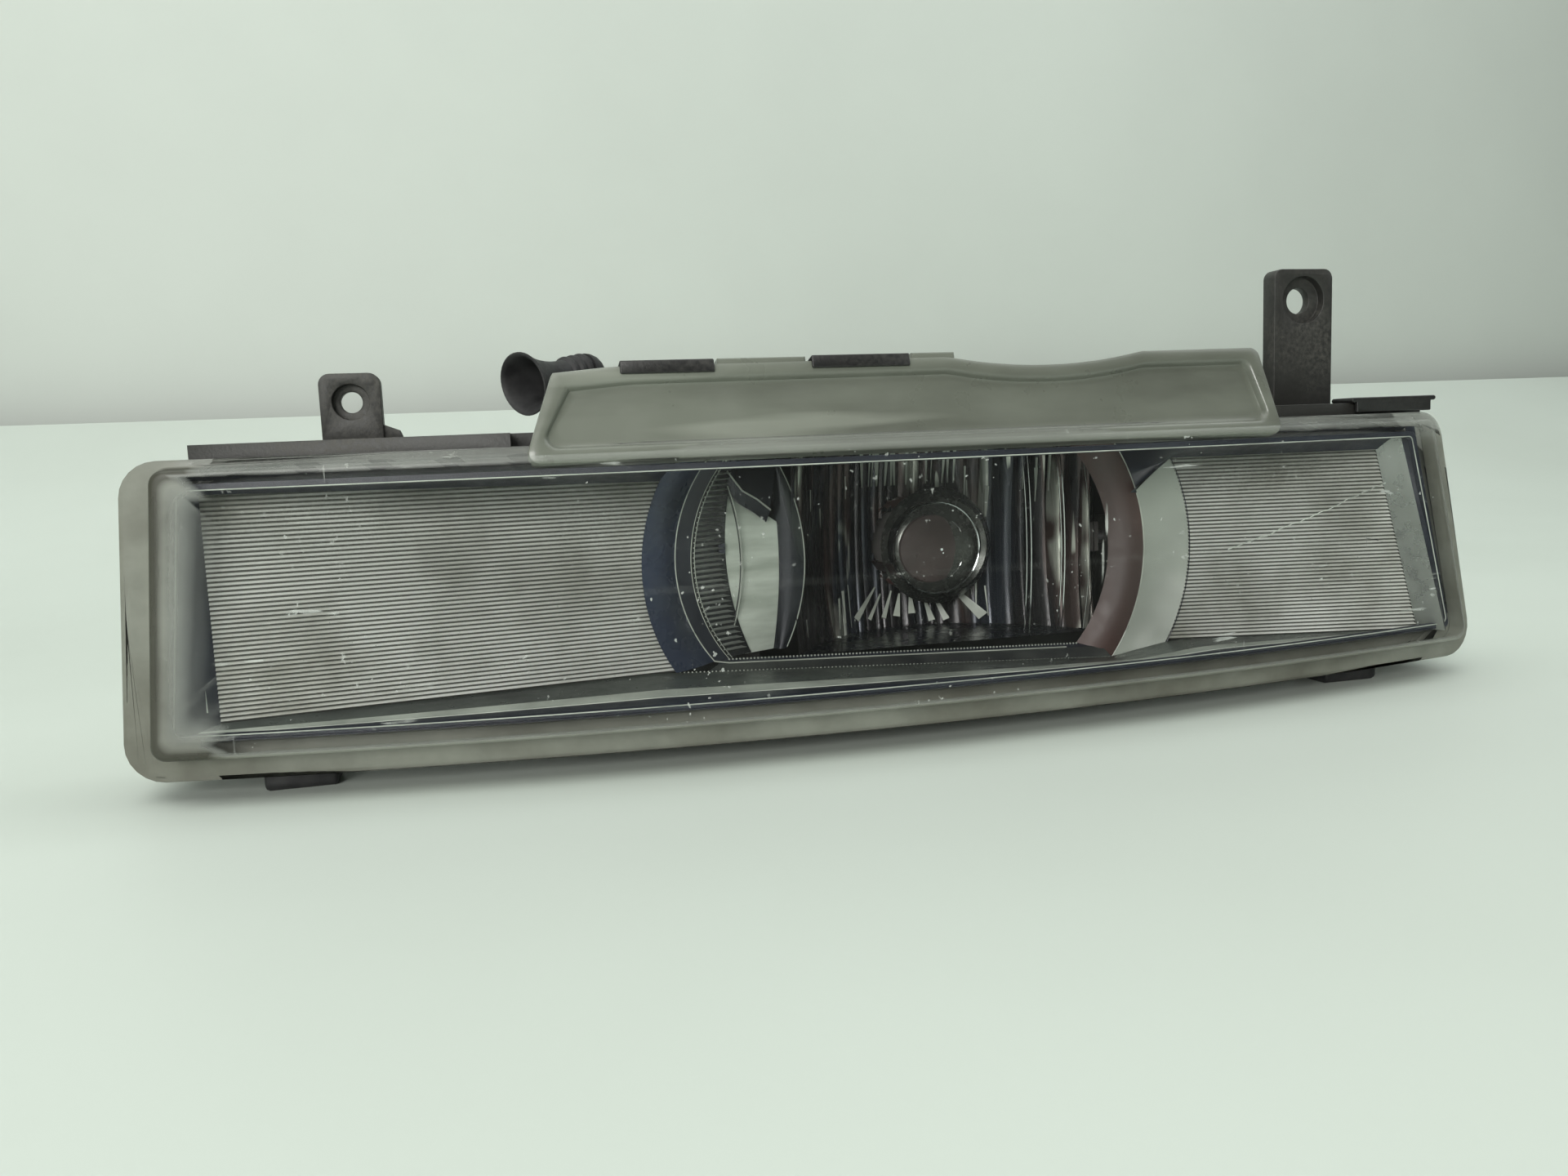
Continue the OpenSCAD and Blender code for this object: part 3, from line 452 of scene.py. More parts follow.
def ribbed(name):
    """Bright ribs with painted light: faces turned up get a painted silver reflection, faces turned down a
    painted shade, and dust dulls some patches.
    """
    m = Nodes(name)
    geo = m.node("ShaderNodeNewGeometry")
    split = m.node("ShaderNodeSeparateXYZ")
    m.link(geo.outputs["Normal"], split.inputs["Vector"])
    # painted light: colour by face direction, painted reflection on faces turned up and painted shade on
    # faces turned down
    up = m.ramp(split.outputs["Z"], -0.3, 0.3)
    dull = m.ramp(m.noise(30, 5), 0.44, 0.66)
    bright = m.mix(dull, (0.80, 0.83, 0.78), (0.40, 0.41, 0.36))
    m.link(m.mix(up, (0.075, 0.078, 0.068), bright), m.bsdf.inputs["Base Color"])
    m.link(m.ramp(dull, 0, 1, 0.28, 0.45), m.bsdf.inputs["Roughness"])
    m.set(Metallic=0.25)
    return m.mat


def satin(name, a, b, scale=40, rough=0.3, metal=0.0, stretch=(1, 1, 1)):
    """Even surface that drifts between two close colours."""
    m = Nodes(name)
    m.link(m.mix(m.ramp(m.noise(scale, 4, stretch=stretch), 0.36, 0.66), a, b), m.bsdf.inputs["Base Color"])
    m.link(m.ramp(m.noise(scale * 5, 3), 0.3, 0.7, rough, rough + 0.15), m.bsdf.inputs["Roughness"])
    m.set(Metallic=metal)
    return m.mat


BLACK = black_plastic("housing_plastic")
CLIP_BLACK = black_plastic("clip_plastic", base=(0.012, 0.012, 0.012), amount=0.15, rough=0.38)
CAP_BLACK = black_plastic("cap_plastic", base=(0.018, 0.018, 0.018), amount=0.2, rough=0.42)
RUBBER = rubber("vent_rubber")
SEAL = rubber("seal_rubber")
BRIGHT = mirror("bright_mirror", haze_amount=0.2)
# rib material whose colour holds a painted reflection and a painted shade, chosen by face direction
RIBS = ribbed("rib_painted_reflection_and_shade")
SMOOTH_MIRROR = satin("band_mirror", (0.50, 0.53, 0.50), (0.36, 0.38, 0.35), rough=0.22, metal=0.8)
PALE_BAND = satin("pale_band", (0.33, 0.37, 0.32), (0.22, 0.25, 0.215), scale=24, rough=0.4)
PALE = satin("pale_strip", (0.52, 0.57, 0.50), (0.30, 0.33, 0.29), scale=60, rough=0.3)
WINDOW = satin("window_wall", (0.62, 0.69, 0.61), (0.36, 0.41, 0.35), scale=70, rough=0.35,
               stretch=(0.3, 1, 2.5))
SHELF = satin("shelf_coat", (0.12, 0.14, 0.125), (0.06, 0.068, 0.064), scale=50, rough=0.25, metal=0.2)
NAVY = satin("navy_coat", (0.008, 0.010, 0.019), (0.020, 0.024, 0.036), scale=60, rough=0.3)
GREY_DARK = satin("dark_coat", (0.02, 0.022, 0.024), (0.05, 0.055, 0.052), scale=90, rough=0.3)
TOOTH = satin("tooth_coat", (0.30, 0.33, 0.30), (0.14, 0.155, 0.145), scale=80, rough=0.3)
TOOTH_GAP = satin("tooth_gap", (0.010, 0.012, 0.014), (0.022, 0.025, 0.026), scale=80, rough=0.25)
DARK = mirror("dark_chrome", base=(0.085, 0.095, 0.125), haze=(0.13, 0.14, 0.14), rough=0.10, haze_amount=0.5)
BLUE_DARK = satin("blue_coat", (0.022, 0.034, 0.072), (0.033, 0.043, 0.062), scale=45, rough=0.2, metal=0.2)
BROWN_DARK = satin("brown_coat", (0.095, 0.044, 0.037), (0.055, 0.036, 0.032), scale=35, rough=0.4,
                   stretch=(1, 1, 0.3))
# painted reflections of the room, on the reflector bowl and on the throat walls
FLUTE = streaked("reflector_painted_reflection", (0.012, 0.011, 0.013), (0.055, 0.038, 0.035), (0.52, 0.56, 0.49), 130)
STREAKS = streaked("throat_painted_reflection", (0.010, 0.012, 0.017), (0.030, 0.036, 0.034), (0.12, 0.14, 0.12), 110)
# painted reflection: the brownish colour on the shield's face and legs stands for a brown object mirrored in
# its metal
SHIELD = satin("shield_brown_reflection", (0.085, 0.066, 0.062), (0.050, 0.039, 0.037), scale=60, rough=0.25, metal=0.3)
SHIELD_SIDE = satin("shield_side", (0.020, 0.020, 0.021), (0.055, 0.055, 0.052), scale=90, rough=0.14,
                    metal=0.7)
RING = satin("ring_coat", (0.10, 0.105, 0.095), (0.03, 0.034, 0.03), scale=90, rough=0.18, metal=0.6)
STEEL = plain_metal("zinc_steel", (0.55, 0.55, 0.56), 0.28)
BRASS = plain_metal("tinned_brass", (0.66, 0.52, 0.26), 0.25)
TUNGSTEN = plain_metal("tungsten", (0.30, 0.30, 0.32), 0.35)
NYLON = white_nylon("nylon")
BULB_GLASS = clear_glass("bulb_glass")
BULB_PLASTIC = black_plastic("bulb_plastic", base=(0.10, 0.095, 0.09), amount=0.1, rough=0.5)
LENS = lens_material()
APRON = apron_material()

NODE_MATERIALS = (
    (BLACK, "housing housing_pod mounting_tabs"),
    (SEAL, "lens_seal"),
    (BRIGHT, "wing_reflector_left wing_reflector_right bulb_shield"),
    (STEEL, "bezel_screws pivot_pins"),
    (CLIP_BLACK, "apron_clips end_clip"),
    (CAP_BLACK, "connector_shell rear_cap"),
    (BRASS, "connector_pins bulb_terminals"),
    (NYLON, "adjuster_bush adjuster_screw adjuster_nut"),
    (RUBBER, "buffer_feet bulb_seal rear_cap_seal vent_trumpet"),
    (BULB_GLASS, "bulb_glass"),
    (TUNGSTEN, "bulb_filament"),
    (BULB_PLASTIC, "bulb_base"),
    (DARK, "bezel_frame aperture_ring"),
    (SMOOTH_MIRROR, "light_baffle"),
    (FLUTE, "reflector"),
    (LENS, "lens"),
)
for material, node_names in NODE_MATERIALS:
    for node_name in node_names.split():
        node_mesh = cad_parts[node_name].data
        node_mesh.materials.clear()
        node_mesh.materials.append(material)


# ---------------------------------------------------------------- pieces
def softened(node, body, width, material):
    """A copy of a CAD node with its edges rounded by a bevel; it stands for that node."""
    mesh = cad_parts[node].data.copy()
    mesh.name = node + "_soft"
    bm = bmesh.new()
    bm.from_mesh(mesh)
    bmesh.ops.remove_doubles(bm, verts=bm.verts, dist=2e-6)
    bmesh.ops.dissolve_limit(bm, angle_limit=math.radians(0.6), verts=bm.verts, edges=bm.edges)
    bm.to_mesh(mesh)
    bm.free()
    obj = bpy.data.objects.new(node + "_soft", mesh)
    bpy.context.scene.collection.objects.link(obj)
    mesh.materials.clear()
    mesh.materials.append(material)
    bevel = obj.modifiers.new("round_edges", "BEVEL")
    bevel.width = width / 1000
    bevel.segments = 2
    bevel.limit_method = "ANGLE"
    bevel.angle_limit = math.radians(40)
    bevel.use_clamp_overlap = True
    bevel.harden_normals = True
    mesh.polygons.foreach_set("use_smooth", [True] * len(mesh.polygons))
    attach(obj, body)
    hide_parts(node)
    return obj


def finish_piece(obj, body, slot, *nodes):
    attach(obj, body)
    if nodes:
        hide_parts(*nodes)
    return obj


def on_housing(build, name, material, slot, node, smooth=True):
    return finish_piece(build.make(name, material, smooth), "housing_body", slot, node)


def on_reflector(build, name, material, slot, node="reflector", smooth=True):
    return finish_piece(build.make(name, material, smooth), "reflector_body", slot, node)


def lens_piece():
    """Outer lens: one closed skin of lofted outlines, from the middle of the face round to its inside."""
    b = Build()
    seat = FACE_R - FLANGE_BACK - FLANGE_T
    flange = FACE_R - FLANGE_BACK
    insets = (29.0, 24.0, 16.0, 9.0, 6.5, 4.6, 3.0, 1.6, 0.9)
    steps = [(FACE, g, max(0.3, 2.6 - g * 0.08), FACE_R) for g in insets]
    steps += [(FACE, 0.4, 2.9, FACE_R - 0.15), (FACE, 0.08, 3.0, FACE_R - 0.5),
              (FACE, 0.0, 3.0, FACE_R - 1.0), (FACE, 0.0, 3.0, flange + 0.7),
              (FACE, -0.2, 3.2, flange + 0.2), (FACE, -0.7, 3.4, flange),
              (RIM, 1.2, 7.0, flange), (RIM, 0.45, 7.6, flange - 0.25),
              (RIM, 0.1, 7.9, flange - 0.75), (RIM, 0.0, 8.0, flange - 1.3),
              (RIM, 0.0, 8.0, seat + 0.6), (RIM, 0.5, 7.6, seat),
              (FACE, LENS_T, 1.5, seat), (FACE, LENS_T, 1.5, FACE_R - LENS_T - 1.2),
              (FACE, LENS_T + 0.8, 1.2, FACE_R - LENS_T)]
    insets = (4.5, 7.0, 12.0, 20.0, 26.0, 29.0)
    steps += [(FACE, g, max(0.3, 2.6 - g * 0.08), FACE_R - LENS_T) for g in insets]
    loops = [on_curve(outline(c, g, radius), r) for c, g, radius, r in steps]
    b.loft(loops)
    for loop in (loops[0], loops[-1]):
        close_sliver(b, loop)
    obj = b.make("lens_skin", LENS)
    layer = obj.data.attributes.new("frost", "FLOAT", "POINT")
    walls = obj.data.attributes.new("wall", "FLOAT", "POINT")
    lookup, dark = {}, {}
    for (c, g, radius, r), loop in zip(steps, loops):
        for p in loop:
            if c is FACE and g > 0.6 and r > FACE_R - LENS_T - 1:
                frost = max(0.0, 1 - max(0.0, g - 1.6) / 7.0 if p[0] < -150 else 1.3 - g)
            elif c is FACE and g > LENS_T - 0.1 and r > seat + 0.1:
                frost = 0.0
            else:
                frost = 0.4 if p[2] > 66 and p[0] > -150 else 1.0
            key = tuple(round(v, 6) for v in put(*p))
            lookup[key] = frost
            dark[key] = 1.0 if c is FACE and p[0] < -150 and -0.3 < g < 1.7 and r > flange - 0.5 else 0.0
    for i, v in enumerate(obj.data.vertices):
        key = tuple(round(c, 6) for c in v.co)
        layer.data[i].value = lookup.get(key, 0.0)
        walls.data[i].value = dark.get(key, 0.0)
    return finish_piece(obj, "housing_body", "lens_clear", "lens")


def lens_scratch():
    """The long pale scratch that crosses the outboard wing, on the inside of the lens face."""
    rng = random.Random(5)
    b = Build()
    points = []
    for k in range(27):
        x = 82.0 + 51.0 * k / 26
        z = 40.4 + 13.9 * (k / 26) ** 1.1 + rng.uniform(-0.25, 0.25)
        points.append((x, curve_y(x) + LENS_T + 0.3, z))
    b.tube(points, 0.11, 5)
    on_housing(b, "lens_scratch", PALE, "lens_clear", "lens")


def close_sliver(b, loop):
    """Closes a long thin loop by joining its lower run to its upper run."""
    verts = list(loop)
    n = len(loop)
    bottom = [i for i in range(n) if loop[i][2] < sum(p[2] for p in loop) / n]
    top = [i for i in range(n) if i not in bottom]
    bottom.sort(key=lambda i: loop[i][0])
    top.sort(key=lambda i: loop[i][0])
    faces = []
    i = j = 0
    while i < len(bottom) - 1 or j < len(top) - 1:
        if j >= len(top) - 1 or (i < len(bottom) - 1 and loop[bottom[i + 1]][0] <= loop[top[j + 1]][0]):
            faces.append((bottom[i], bottom[i + 1], top[j]))
            i += 1
        else:
            faces.append((bottom[i], top[j + 1], top[j]))
            j += 1
    b.add(verts, faces)


def apron_outline(g):
    """Outline of the apron in its own plane, shrunk by g, with the shallow dip in its top edge."""
    corners = ((APRON_X0, -3.0), (APRON_X1, -3.0), (APRON_X1 - 4, APRON_RISE), (APRON_X0 + 8, APRON_RISE))
    dip_x, dip_r, dip = 37.0, 120.0, 2.6
    out = []
    for x, v in outline(corners, g, 2.4, spacing=2.0):
        edge = APRON_RISE - APRON_TILT * (APRON_X1 - x) - g
        limit = min(edge, edge + dip_r - dip - math.sqrt(max(0.0, dip_r ** 2 - (x - dip_x) ** 2)))
        chamfer = edge - (APRON_X0 + 20 + g - x) / 12
        out.append((x, min(v, limit, chamfer) if x < APRON_X0 + 20 + g else min(v, limit)))
    return out


def apron_place(x, v, w):
    """A point on the apron: v up the slope, w towards the viewer."""
    a = math.radians(APRON_LEAN)
    return (x, APRON_Y + v * math.sin(a) - w * math.cos(a), FACE_TOP + v * math.cos(a) + w * math.sin(a))


def apron_piece():
    b = Build()
    steps = ((0.6, 0.0), (0.0, 0.6), (0.0, 3.2), (0.25, 3.75), (0.8, APRON_T), (2.8, APRON_T), (3.3, 3.75),
             (3.6, 3.2), (3.9, 2.5), (4.6, 2.2), (5.5, 2.2))
    loops = [[apron_place(x, v, w) for x, v in apron_outline(g)] for g, w in steps]
    b.loft(loops, cap_first=True, cap_last=True)
    for x0, x1 in ((-41.5, -21.5), (3.5, 14.0)):
        tab = []
        for inset, w in ((0.0, 0.2), (0.0, 3.0), (0.35, 3.4)):
            top = APRON_RISE - APRON_TILT * (APRON_X1 - x0) + 1.2 - inset
            low = APRON_RISE - 4
            tab.append([apron_place(x, v, w) for x, v in ((x0 + inset, low), (x1 - inset, low),
                                                          (x1 - inset, top), (x0 + inset, top))])
        b.loft(tab, cap_first=True, cap_last=True)
    return on_housing(b, "lens_apron", APRON, "lens_clear", "lens")


# ---------------------------------------------------------------- pieces behind the lens
class Arc:
    """A curved edge seen from the front: part of a circle about (cx, cz) at depth y; side -1 is its left."""

    def __init__(self, cx, cz, radius, side, y, low, high):
        self.cx, self.cz, self.radius, self.side = cx, cz, radius, side
        self.y, self.low, self.high = y, low, high

    def x(self, z):
        return self.cx + self.side * math.sqrt(max(0.0, self.radius ** 2 - (z - self.cz) ** 2))

    def points(self, count=44, dy=0.0, low=None, high=None):
        a = self.low if low is None else low
        b = self.high if high is None else high
        return [(self.x(z), self.y + dy, z) for z in (a + (b - a) * k / (count - 1) for k in range(count))]


RIBS_LEFT = Arc(-10.7, 40.6, 46.7, -1, 22.0, 15.8, 66.5)
LINE_LEFT = Arc(-8.5, 41.7, 39.8, -1, 28.0, 16.8, INNER_TOP)
BEADS_LEFT = Arc(-4.8, 41.3, 39.2, -1, 30.0, 16.9, 68.1)
TEETH_IN = Arc(31.9, 44.1, 68.4, -1, 33.0, 18.2, 61.3)
WINDOW_LINE = Arc(-86.3, 42.2, 56.4, 1, 34.5, 24.0, 60.3)
FACET_LEFT = Arc(-64.1, 40.9, 51.7, 1, 38.0, 17.2, INNER_TOP)
RED_IN = Arc(32.0, 39.3, 39.5, 1, 30.0, 12.8, INNER_TOP)
LINE_RIGHT = Arc(30.6, 38.8, 50.0, 1, 27.0, 8.9, INNER_TOP)
RIBS_RIGHT = Arc(39.7, 38.8, 51.4, 1, 22.0, 12.6, 62.6)
LEFT_END = -150.5                   # left end of the left wing


def wing_right_end(z):
    return 155.6 - 0.246 * z


def wing_depth(x):
    """Depth of the wings' front plane at x."""
    if x < AXIS_X:
        return 9.0 + (x - LEFT_END) * math.tan(math.radians(8))
    return RIBS_RIGHT.y - (x - 91.2) * math.tan(math.radians(13))


def top_edge_z(x):
    """Height at which the ribs disappear behind the dark top band."""
    return 64.6 - 2.0 * (x - LEFT_END) / 100 if x < AXIS_X else 62.5


def bead_line_z(x):
    """Height of the beaded line under the aperture: it falls a little towards the outboard end."""
    return 15.5 - 0.038 * x


def dot_line_z(x):
    """Height of the lower, finer line of dots."""
    return 13.0 - 0.05 * x


def resample(points, count):
    """Evenly spaced points along a polyline."""
    pts = [Vector(p) for p in points]
    lengths = [0.0]
    for a, b in zip(pts, pts[1:]):
        lengths.append(lengths[-1] + (b - a).length)
    out = []
    j = 0
    for k in range(count):
        s = lengths[-1] * k / (count - 1)
        while j < len(pts) - 2 and lengths[j + 1] < s:
            j += 1
        t = (s - lengths[j]) / max(1e-9, lengths[j + 1] - lengths[j])
        out.append(tuple(pts[j].lerp(pts[j + 1], min(1.0, t))))
    return out


def strip(a, b, steps=4, bulge=0.0, count=44):
    """A band between two polylines, bowed towards the viewer by bulge."""
    build = Build()
    pa, pb = resample(a, count), resample(b, count)
    loops = []
    for k in range(steps + 1):
        t = k / steps
        lift = bulge * math.sin(math.pi * t)
        loops.append([(p[0] + (q[0] - p[0]) * t, p[1] + (q[1] - p[1]) * t - lift, p[2] + (q[2] - p[2]) * t)
                      for p, q in zip(pa, pb)])
    build.loft(loops, close=False)
    return build


def add_strip(name, a, b, material, node, slot, steps=4, bulge=0.0, count=44):
    return on_housing(strip(a, b, steps, bulge, count), name, material, slot, node)


def bright_line(name, points, radius, node="aperture_ring", material=None):
    b = Build()
    b.tube(points, radius, 6)
    return on_housing(b, name, material or PALE, "bright_mirror", node)


def wing_piece(name, node, low, high, ends):
    """Wing with horizontal V ribs; ends(z) gives its left and right end."""
    b = Build()
    count = round(high - low)
    rows = []
    for k in range(2 * count + 1):
        z = low + (high - low) * k / (2 * count)
        x0, x1 = ends(z)
        lift = 0.5 if k % 2 else 0.0
        rows.append([(x, wing_depth(x) - lift, z) for x in (x0 + (x1 - x0) * i / 12 for i in range(13))])
    for low_row, high_row in zip(rows, rows[1:]):
        b.loft([low_row, high_row], close=False)
    return on_housing(b, name, RIBS, "bright_mirror", node, smooth=False)


def wings():
    wing_piece("wing_left", "wing_reflector_left", 15.9, 64.9, lambda z: (LEFT_END, RIBS_LEFT.x(z)))
    wing_piece("wing_right", "wing_reflector_right", 13.0, 62.8,
               lambda z: (RIBS_RIGHT.x(z), wing_right_end(z)))


def bezel_pieces():
    """Dark bands that frame the wings: top, left end, right end, and the shelf along the bottom."""
    inner_top = [(x, curve_y(x) + 4.5, INNER_TOP) for x in range(-154, -47, 6)]
    add_strip("band_top_left", inner_top, [(x, wing_depth(x) - 0.7, top_edge_z(x)) for x, _, _ in inner_top],
              NAVY, "bezel_frame", "dark_chrome", steps=5, bulge=-1.0)
    right_top = [(x, curve_y(x) + 4.5, INNER_TOP) for x in range(86, 145, 4)]
    add_strip("band_top_right", right_top, [(x, wing_depth(x) - 0.7, 62.5) for x, _, _ in right_top],
              NAVY, "bezel_frame", "dark_chrome", steps=5, bulge=-1.0)
    corner = [(75.6, 25.6, 53.6), (85.4, 21.8, 62.4), (86.0, curve_y(86.0) + 4.5, INNER_TOP)]
    add_strip("band_corner", LINE_RIGHT.points(low=53.4, dy=-0.3), corner, NAVY, "bezel_frame", "dark_chrome")
    zs = [13.2 + (INNER_TOP - 13.2) * k / 30 for k in range(31)]
    add_strip("end_left", [(left_face(z) + 4.2, curve_y(left_face(z)) + 3.6, z) for z in zs],
              [(LEFT_END, 8.8, z) for z in zs], NAVY, "bezel_frame", "dark_chrome", steps=5)
    bright_line("end_line", [(LEFT_END - 2.2, 7.6, z) for z in zs[3:28]], 0.2, "bezel_frame", PALE)
    step = [(wing_right_end(z) + 3.6, wing_depth(wing_right_end(z)) - 6.5, z) for z in zs]
    add_strip("end_right_bright", [(wing_right_end(z), wing_depth(wing_right_end(z)) - 0.4, z) for z in zs],
              step, SMOOTH_MIRROR, "bezel_frame", "bright_mirror")
    add_strip("end_right_dark", step, [(right_face(z) - 3.6, curve_y(right_face(z)) + 3.4, z) for z in zs],
              NAVY, "bezel_frame", "dark_chrome")
    shelf_back = ([(LEFT_END + t * 9.7, wing_depth(LEFT_END + t * 9.7), 15.9) for t in range(11)]
                  + [(-49.2, 24.0, 15.4), (68.9, 24.0, 9.6), (82.8, 21.0, 12.9)]
                  + [(90 + t * 6.2, wing_depth(90 + t * 6.2), 13.1) for t in range(11)])
    shelf_front = [(x, curve_y(x) + 3.4, 13.9) for x in range(-158, 160, 6)]
    back, front = resample(shelf_back, 90), resample(shelf_front, 90)

    def along(t):
        return [tuple(a + (c - a) * t for a, c in zip(p, q)) for p, q in zip(back, front)]

    add_strip("shelf_back", along(0.0), along(0.46), SHELF, "bezel_frame", "dark_chrome", count=90)
    add_strip("shelf_bright", along(0.46), along(0.66), PALE, "bezel_frame", "bright_mirror", count=90)
    add_strip("shelf_front", along(0.66), along(1.0), NAVY, "bezel_frame", "dark_chrome", count=90)
    bright_line("shelf_line", along(0.665), 0.16, "bezel_frame")
    rim = on_curve(outline(FACE, 4.3, 1.4), FACE_R - LENS_T - 1.2)
    bright_line("bezel_line", rim + rim[:1], 0.14, "bezel_frame")
    lip = Build()
    r = FACE_R - LENS_T - 1.4
    lip.loft([on_curve(outline(FACE, 3.0, 1.4), r - 3.0), on_curve(outline(FACE, 3.0, 1.4), r),
              on_curve(outline(FACE, 4.4, 1.3), r), on_curve(outline(FACE, 4.6, 1.3), r - 1.0)])
    on_housing(lip, "bezel_lip", NAVY, "dark_chrome", "bezel_frame")


def left_face(z):
    return -163.0 + 5.5 * (z - 10.5) / 59.5


def right_face(z):
    return 163.0 - 15.5 * (z - 10.5) / 59.5


def aperture_pieces():
    """Bands on both sides of the aperture with their bright edges, and the beaded line under it."""
    ring = "aperture_ring"
    add_strip("band_left", RIBS_LEFT.points(), LINE_LEFT.points(), BLUE_DARK, ring, "dark_chrome", bulge=1.2)
    add_strip("band_black", LINE_LEFT.points(), BEADS_LEFT.points(), NAVY, ring, "dark_chrome")
    add_strip("band_red", RED_IN.points(), LINE_RIGHT.points(), BROWN_DARK, ring, "dark_chrome", bulge=1.5)
    add_strip("band_pale", LINE_RIGHT.points(high=54), RIBS_RIGHT.points(high=62.3), PALE_BAND, ring,
              "bright_mirror", bulge=-0.6)
    low_left, low_right = -38.5, 68.0
    xs = [low_left + (low_right - low_left) * k / 40 for k in range(41)]
    fold = [(x, 27.6, bead_line_z(x) - 0.9) for x in xs]
    front = [(x - 4 + 5 * (x - low_left) / 106, 24.0, dot_line_z(x) - 0.1) for x in xs]
    add_strip("sill", [(x, 30.0, bead_line_z(x)) for x in xs], fold, NAVY, ring, "dark_chrome", steps=2)
    add_strip("sill_front", fold, front, GREY_DARK, ring, "dark_chrome", steps=2)
    line = LINE_LEFT.points()[::-1] + [(x, 27.6, bead_line_z(x) - 0.7) for x in xs[1:37]]
    bright_line("line_left", line, 0.19)
    bright_line("line_right", LINE_RIGHT.points(), 0.2)
    bright_line("line_ribs_right", RIBS_RIGHT.points(dy=-0.6), 0.12, material=NAVY)
    for dy, shift in ((-0.2, 0.0), (0.4, 1.0)):
        edge = [(x + shift, y + dy, z) for x, y, z in BEADS_LEFT.points()]
        bright_line("line_beads_%d" % round(shift), edge, 0.1)
    beads = Build()
    for k in range(0, 104):
        x = -35.5 + k * 0.94
        beads.bead((x, 29.4, bead_line_z(x) - 0.1), 0.27)
    for k in range(0, 118):
        x = -49.0 + k
        beads.bead((x, 23.8, dot_line_z(x)), 0.2)
    for k in range(0, 40):
        z = 18.0 + k * 1.25
        beads.bead((BEADS_LEFT.x(z) + 0.6, 29.6, z), 0.16)
    on_housing(beads, "beads", PALE, "bright_mirror", ring)


def baffle_pieces():
    """Toothed crescent with the pale window beside it, the dark wedge above, and the dark strip behind."""
    node = "light_baffle"
    count = 34
    low, high = TEETH_IN.low, TEETH_IN.high + 3
    back = Build()
    zs = [17.0 + (67.5 - 17.0) * k / 40 for k in range(41)]
    back.loft([[(BEADS_LEFT.x(z), 31.0, z) for z in zs],
               [(TEETH_IN.x(z) + 2.5, 35.5, z) for z in zs]], close=False)
    on_housing(back, "teeth_back", TOOTH_GAP, "dark_chrome", node)
    teeth = Build()
    pitch = (high - low) / count
    for k in range(count):
        z = low + pitch * (k + 0.5)
        x0, x1 = BEADS_LEFT.x(z) + 1.2, TEETH_IN.x(z) + 0.9
        half = pitch * 0.26
        root = [(x0, 31.2, z - half), (x0, 30.4, z), (x0, 31.2, z + half)]
        tip = [(x1 - 0.6, 34.6, z - half), (x1 + 0.9, 33.2, z), (x1 - 0.6, 34.6, z + half)]
        teeth.loft([root, tip], cap_first=True, cap_last=True)
    on_housing(teeth, "teeth", TOOTH, "dark_chrome", node, smooth=False)

    def window_right(z):
        return -19.0 - 0.0035 * (z - 43) ** 2

    window = Build()
    rows = []
    for k in range(31):
        z = 16.8 + (58.5 - 16.8) * k / 30
        x0, x1 = TEETH_IN.x(z) + 0.6, window_right(z)
        top_x = x1 if z < 50.3 else x1 - (z - 50.3) * 1.42
        rows.append([(x0 + (top_x - x0) * i / 8, 35.0 + 4.5 * (i / 8), z) for i in range(9)])
    window.loft(rows, close=False)
    on_housing(window, "window", WINDOW, "bright_mirror", node)
    bright_line("window_line", WINDOW_LINE.points(), 0.16, node)
    shade_line = [(x - 0.45, y + 0.1, z) for x, y, z in WINDOW_LINE.points()]
    bright_line("window_shade", shade_line, 0.16, node, GREY_DARK)
    square = Build()
    square.box((-36.0, 33.8, 43.2), (-34.4, 34.6, 46.0))
    on_housing(square, "window_slot", NAVY, "dark_chrome", node)
    zig = [(-33.0, 33.6, 64.1), (-31.2, 33.7, 61.6), (-29.2, 33.8, 58.9), (-25.4, 34.2, 56.6),
           (-21.7, 35.0, 53.6)]
    bright_line("wedge_line", zig, 0.22, node)
    wedge = Build()
    wedge.loft([[(x, y + 0.6, z) for x, y, z in resample(zig, 12)],
                [(x - 1.0, y + 1.6, z - 3.2) for x, y, z in resample(zig, 12)]], close=False)
    wedge.loft([[(x, y + 0.7, z) for x, y, z in resample(zig, 12)],
                [(x, 36.5, INNER_TOP) for x in (-33.0 + 14.0 * k / 11 for k in range(12))]], close=False)
    on_housing(wedge, "wedge", STREAKS, "dark_chrome", node)
    zs = [16.8 + (INNER_TOP - 16.8) * k / 30 for k in range(31)]
    add_strip("throat_left", [(window_right(z) - 0.2, 39.6, z) for z in zs],
              [(FACET_LEFT.x(z), 38.0, z) for z in zs], STREAKS, node, "dark_chrome", bulge=0.8)
    bright_line("facet_edge_0", FACET_LEFT.points(), 0.15, node)
    second = [(x - 1.0 + 0.02 * (z - 42), y + 0.2, z) for x, y, z in FACET_LEFT.points()]
    bright_line("facet_edge_1", second, 0.1, node)


def bowl_y(x, z):
    """Depth of the main reflector's paraboloid."""
    return VERTEX_Y - ((x - AXIS_X) ** 2 + (z - AXIS_Z) ** 2) / (4 * FOCAL)


def facet_y(x, z):
    """Depth of the bowl as its tall facets follow it, flattened in height."""
    return bowl_y(x, z * 0.45 + AXIS_Z * 0.55)


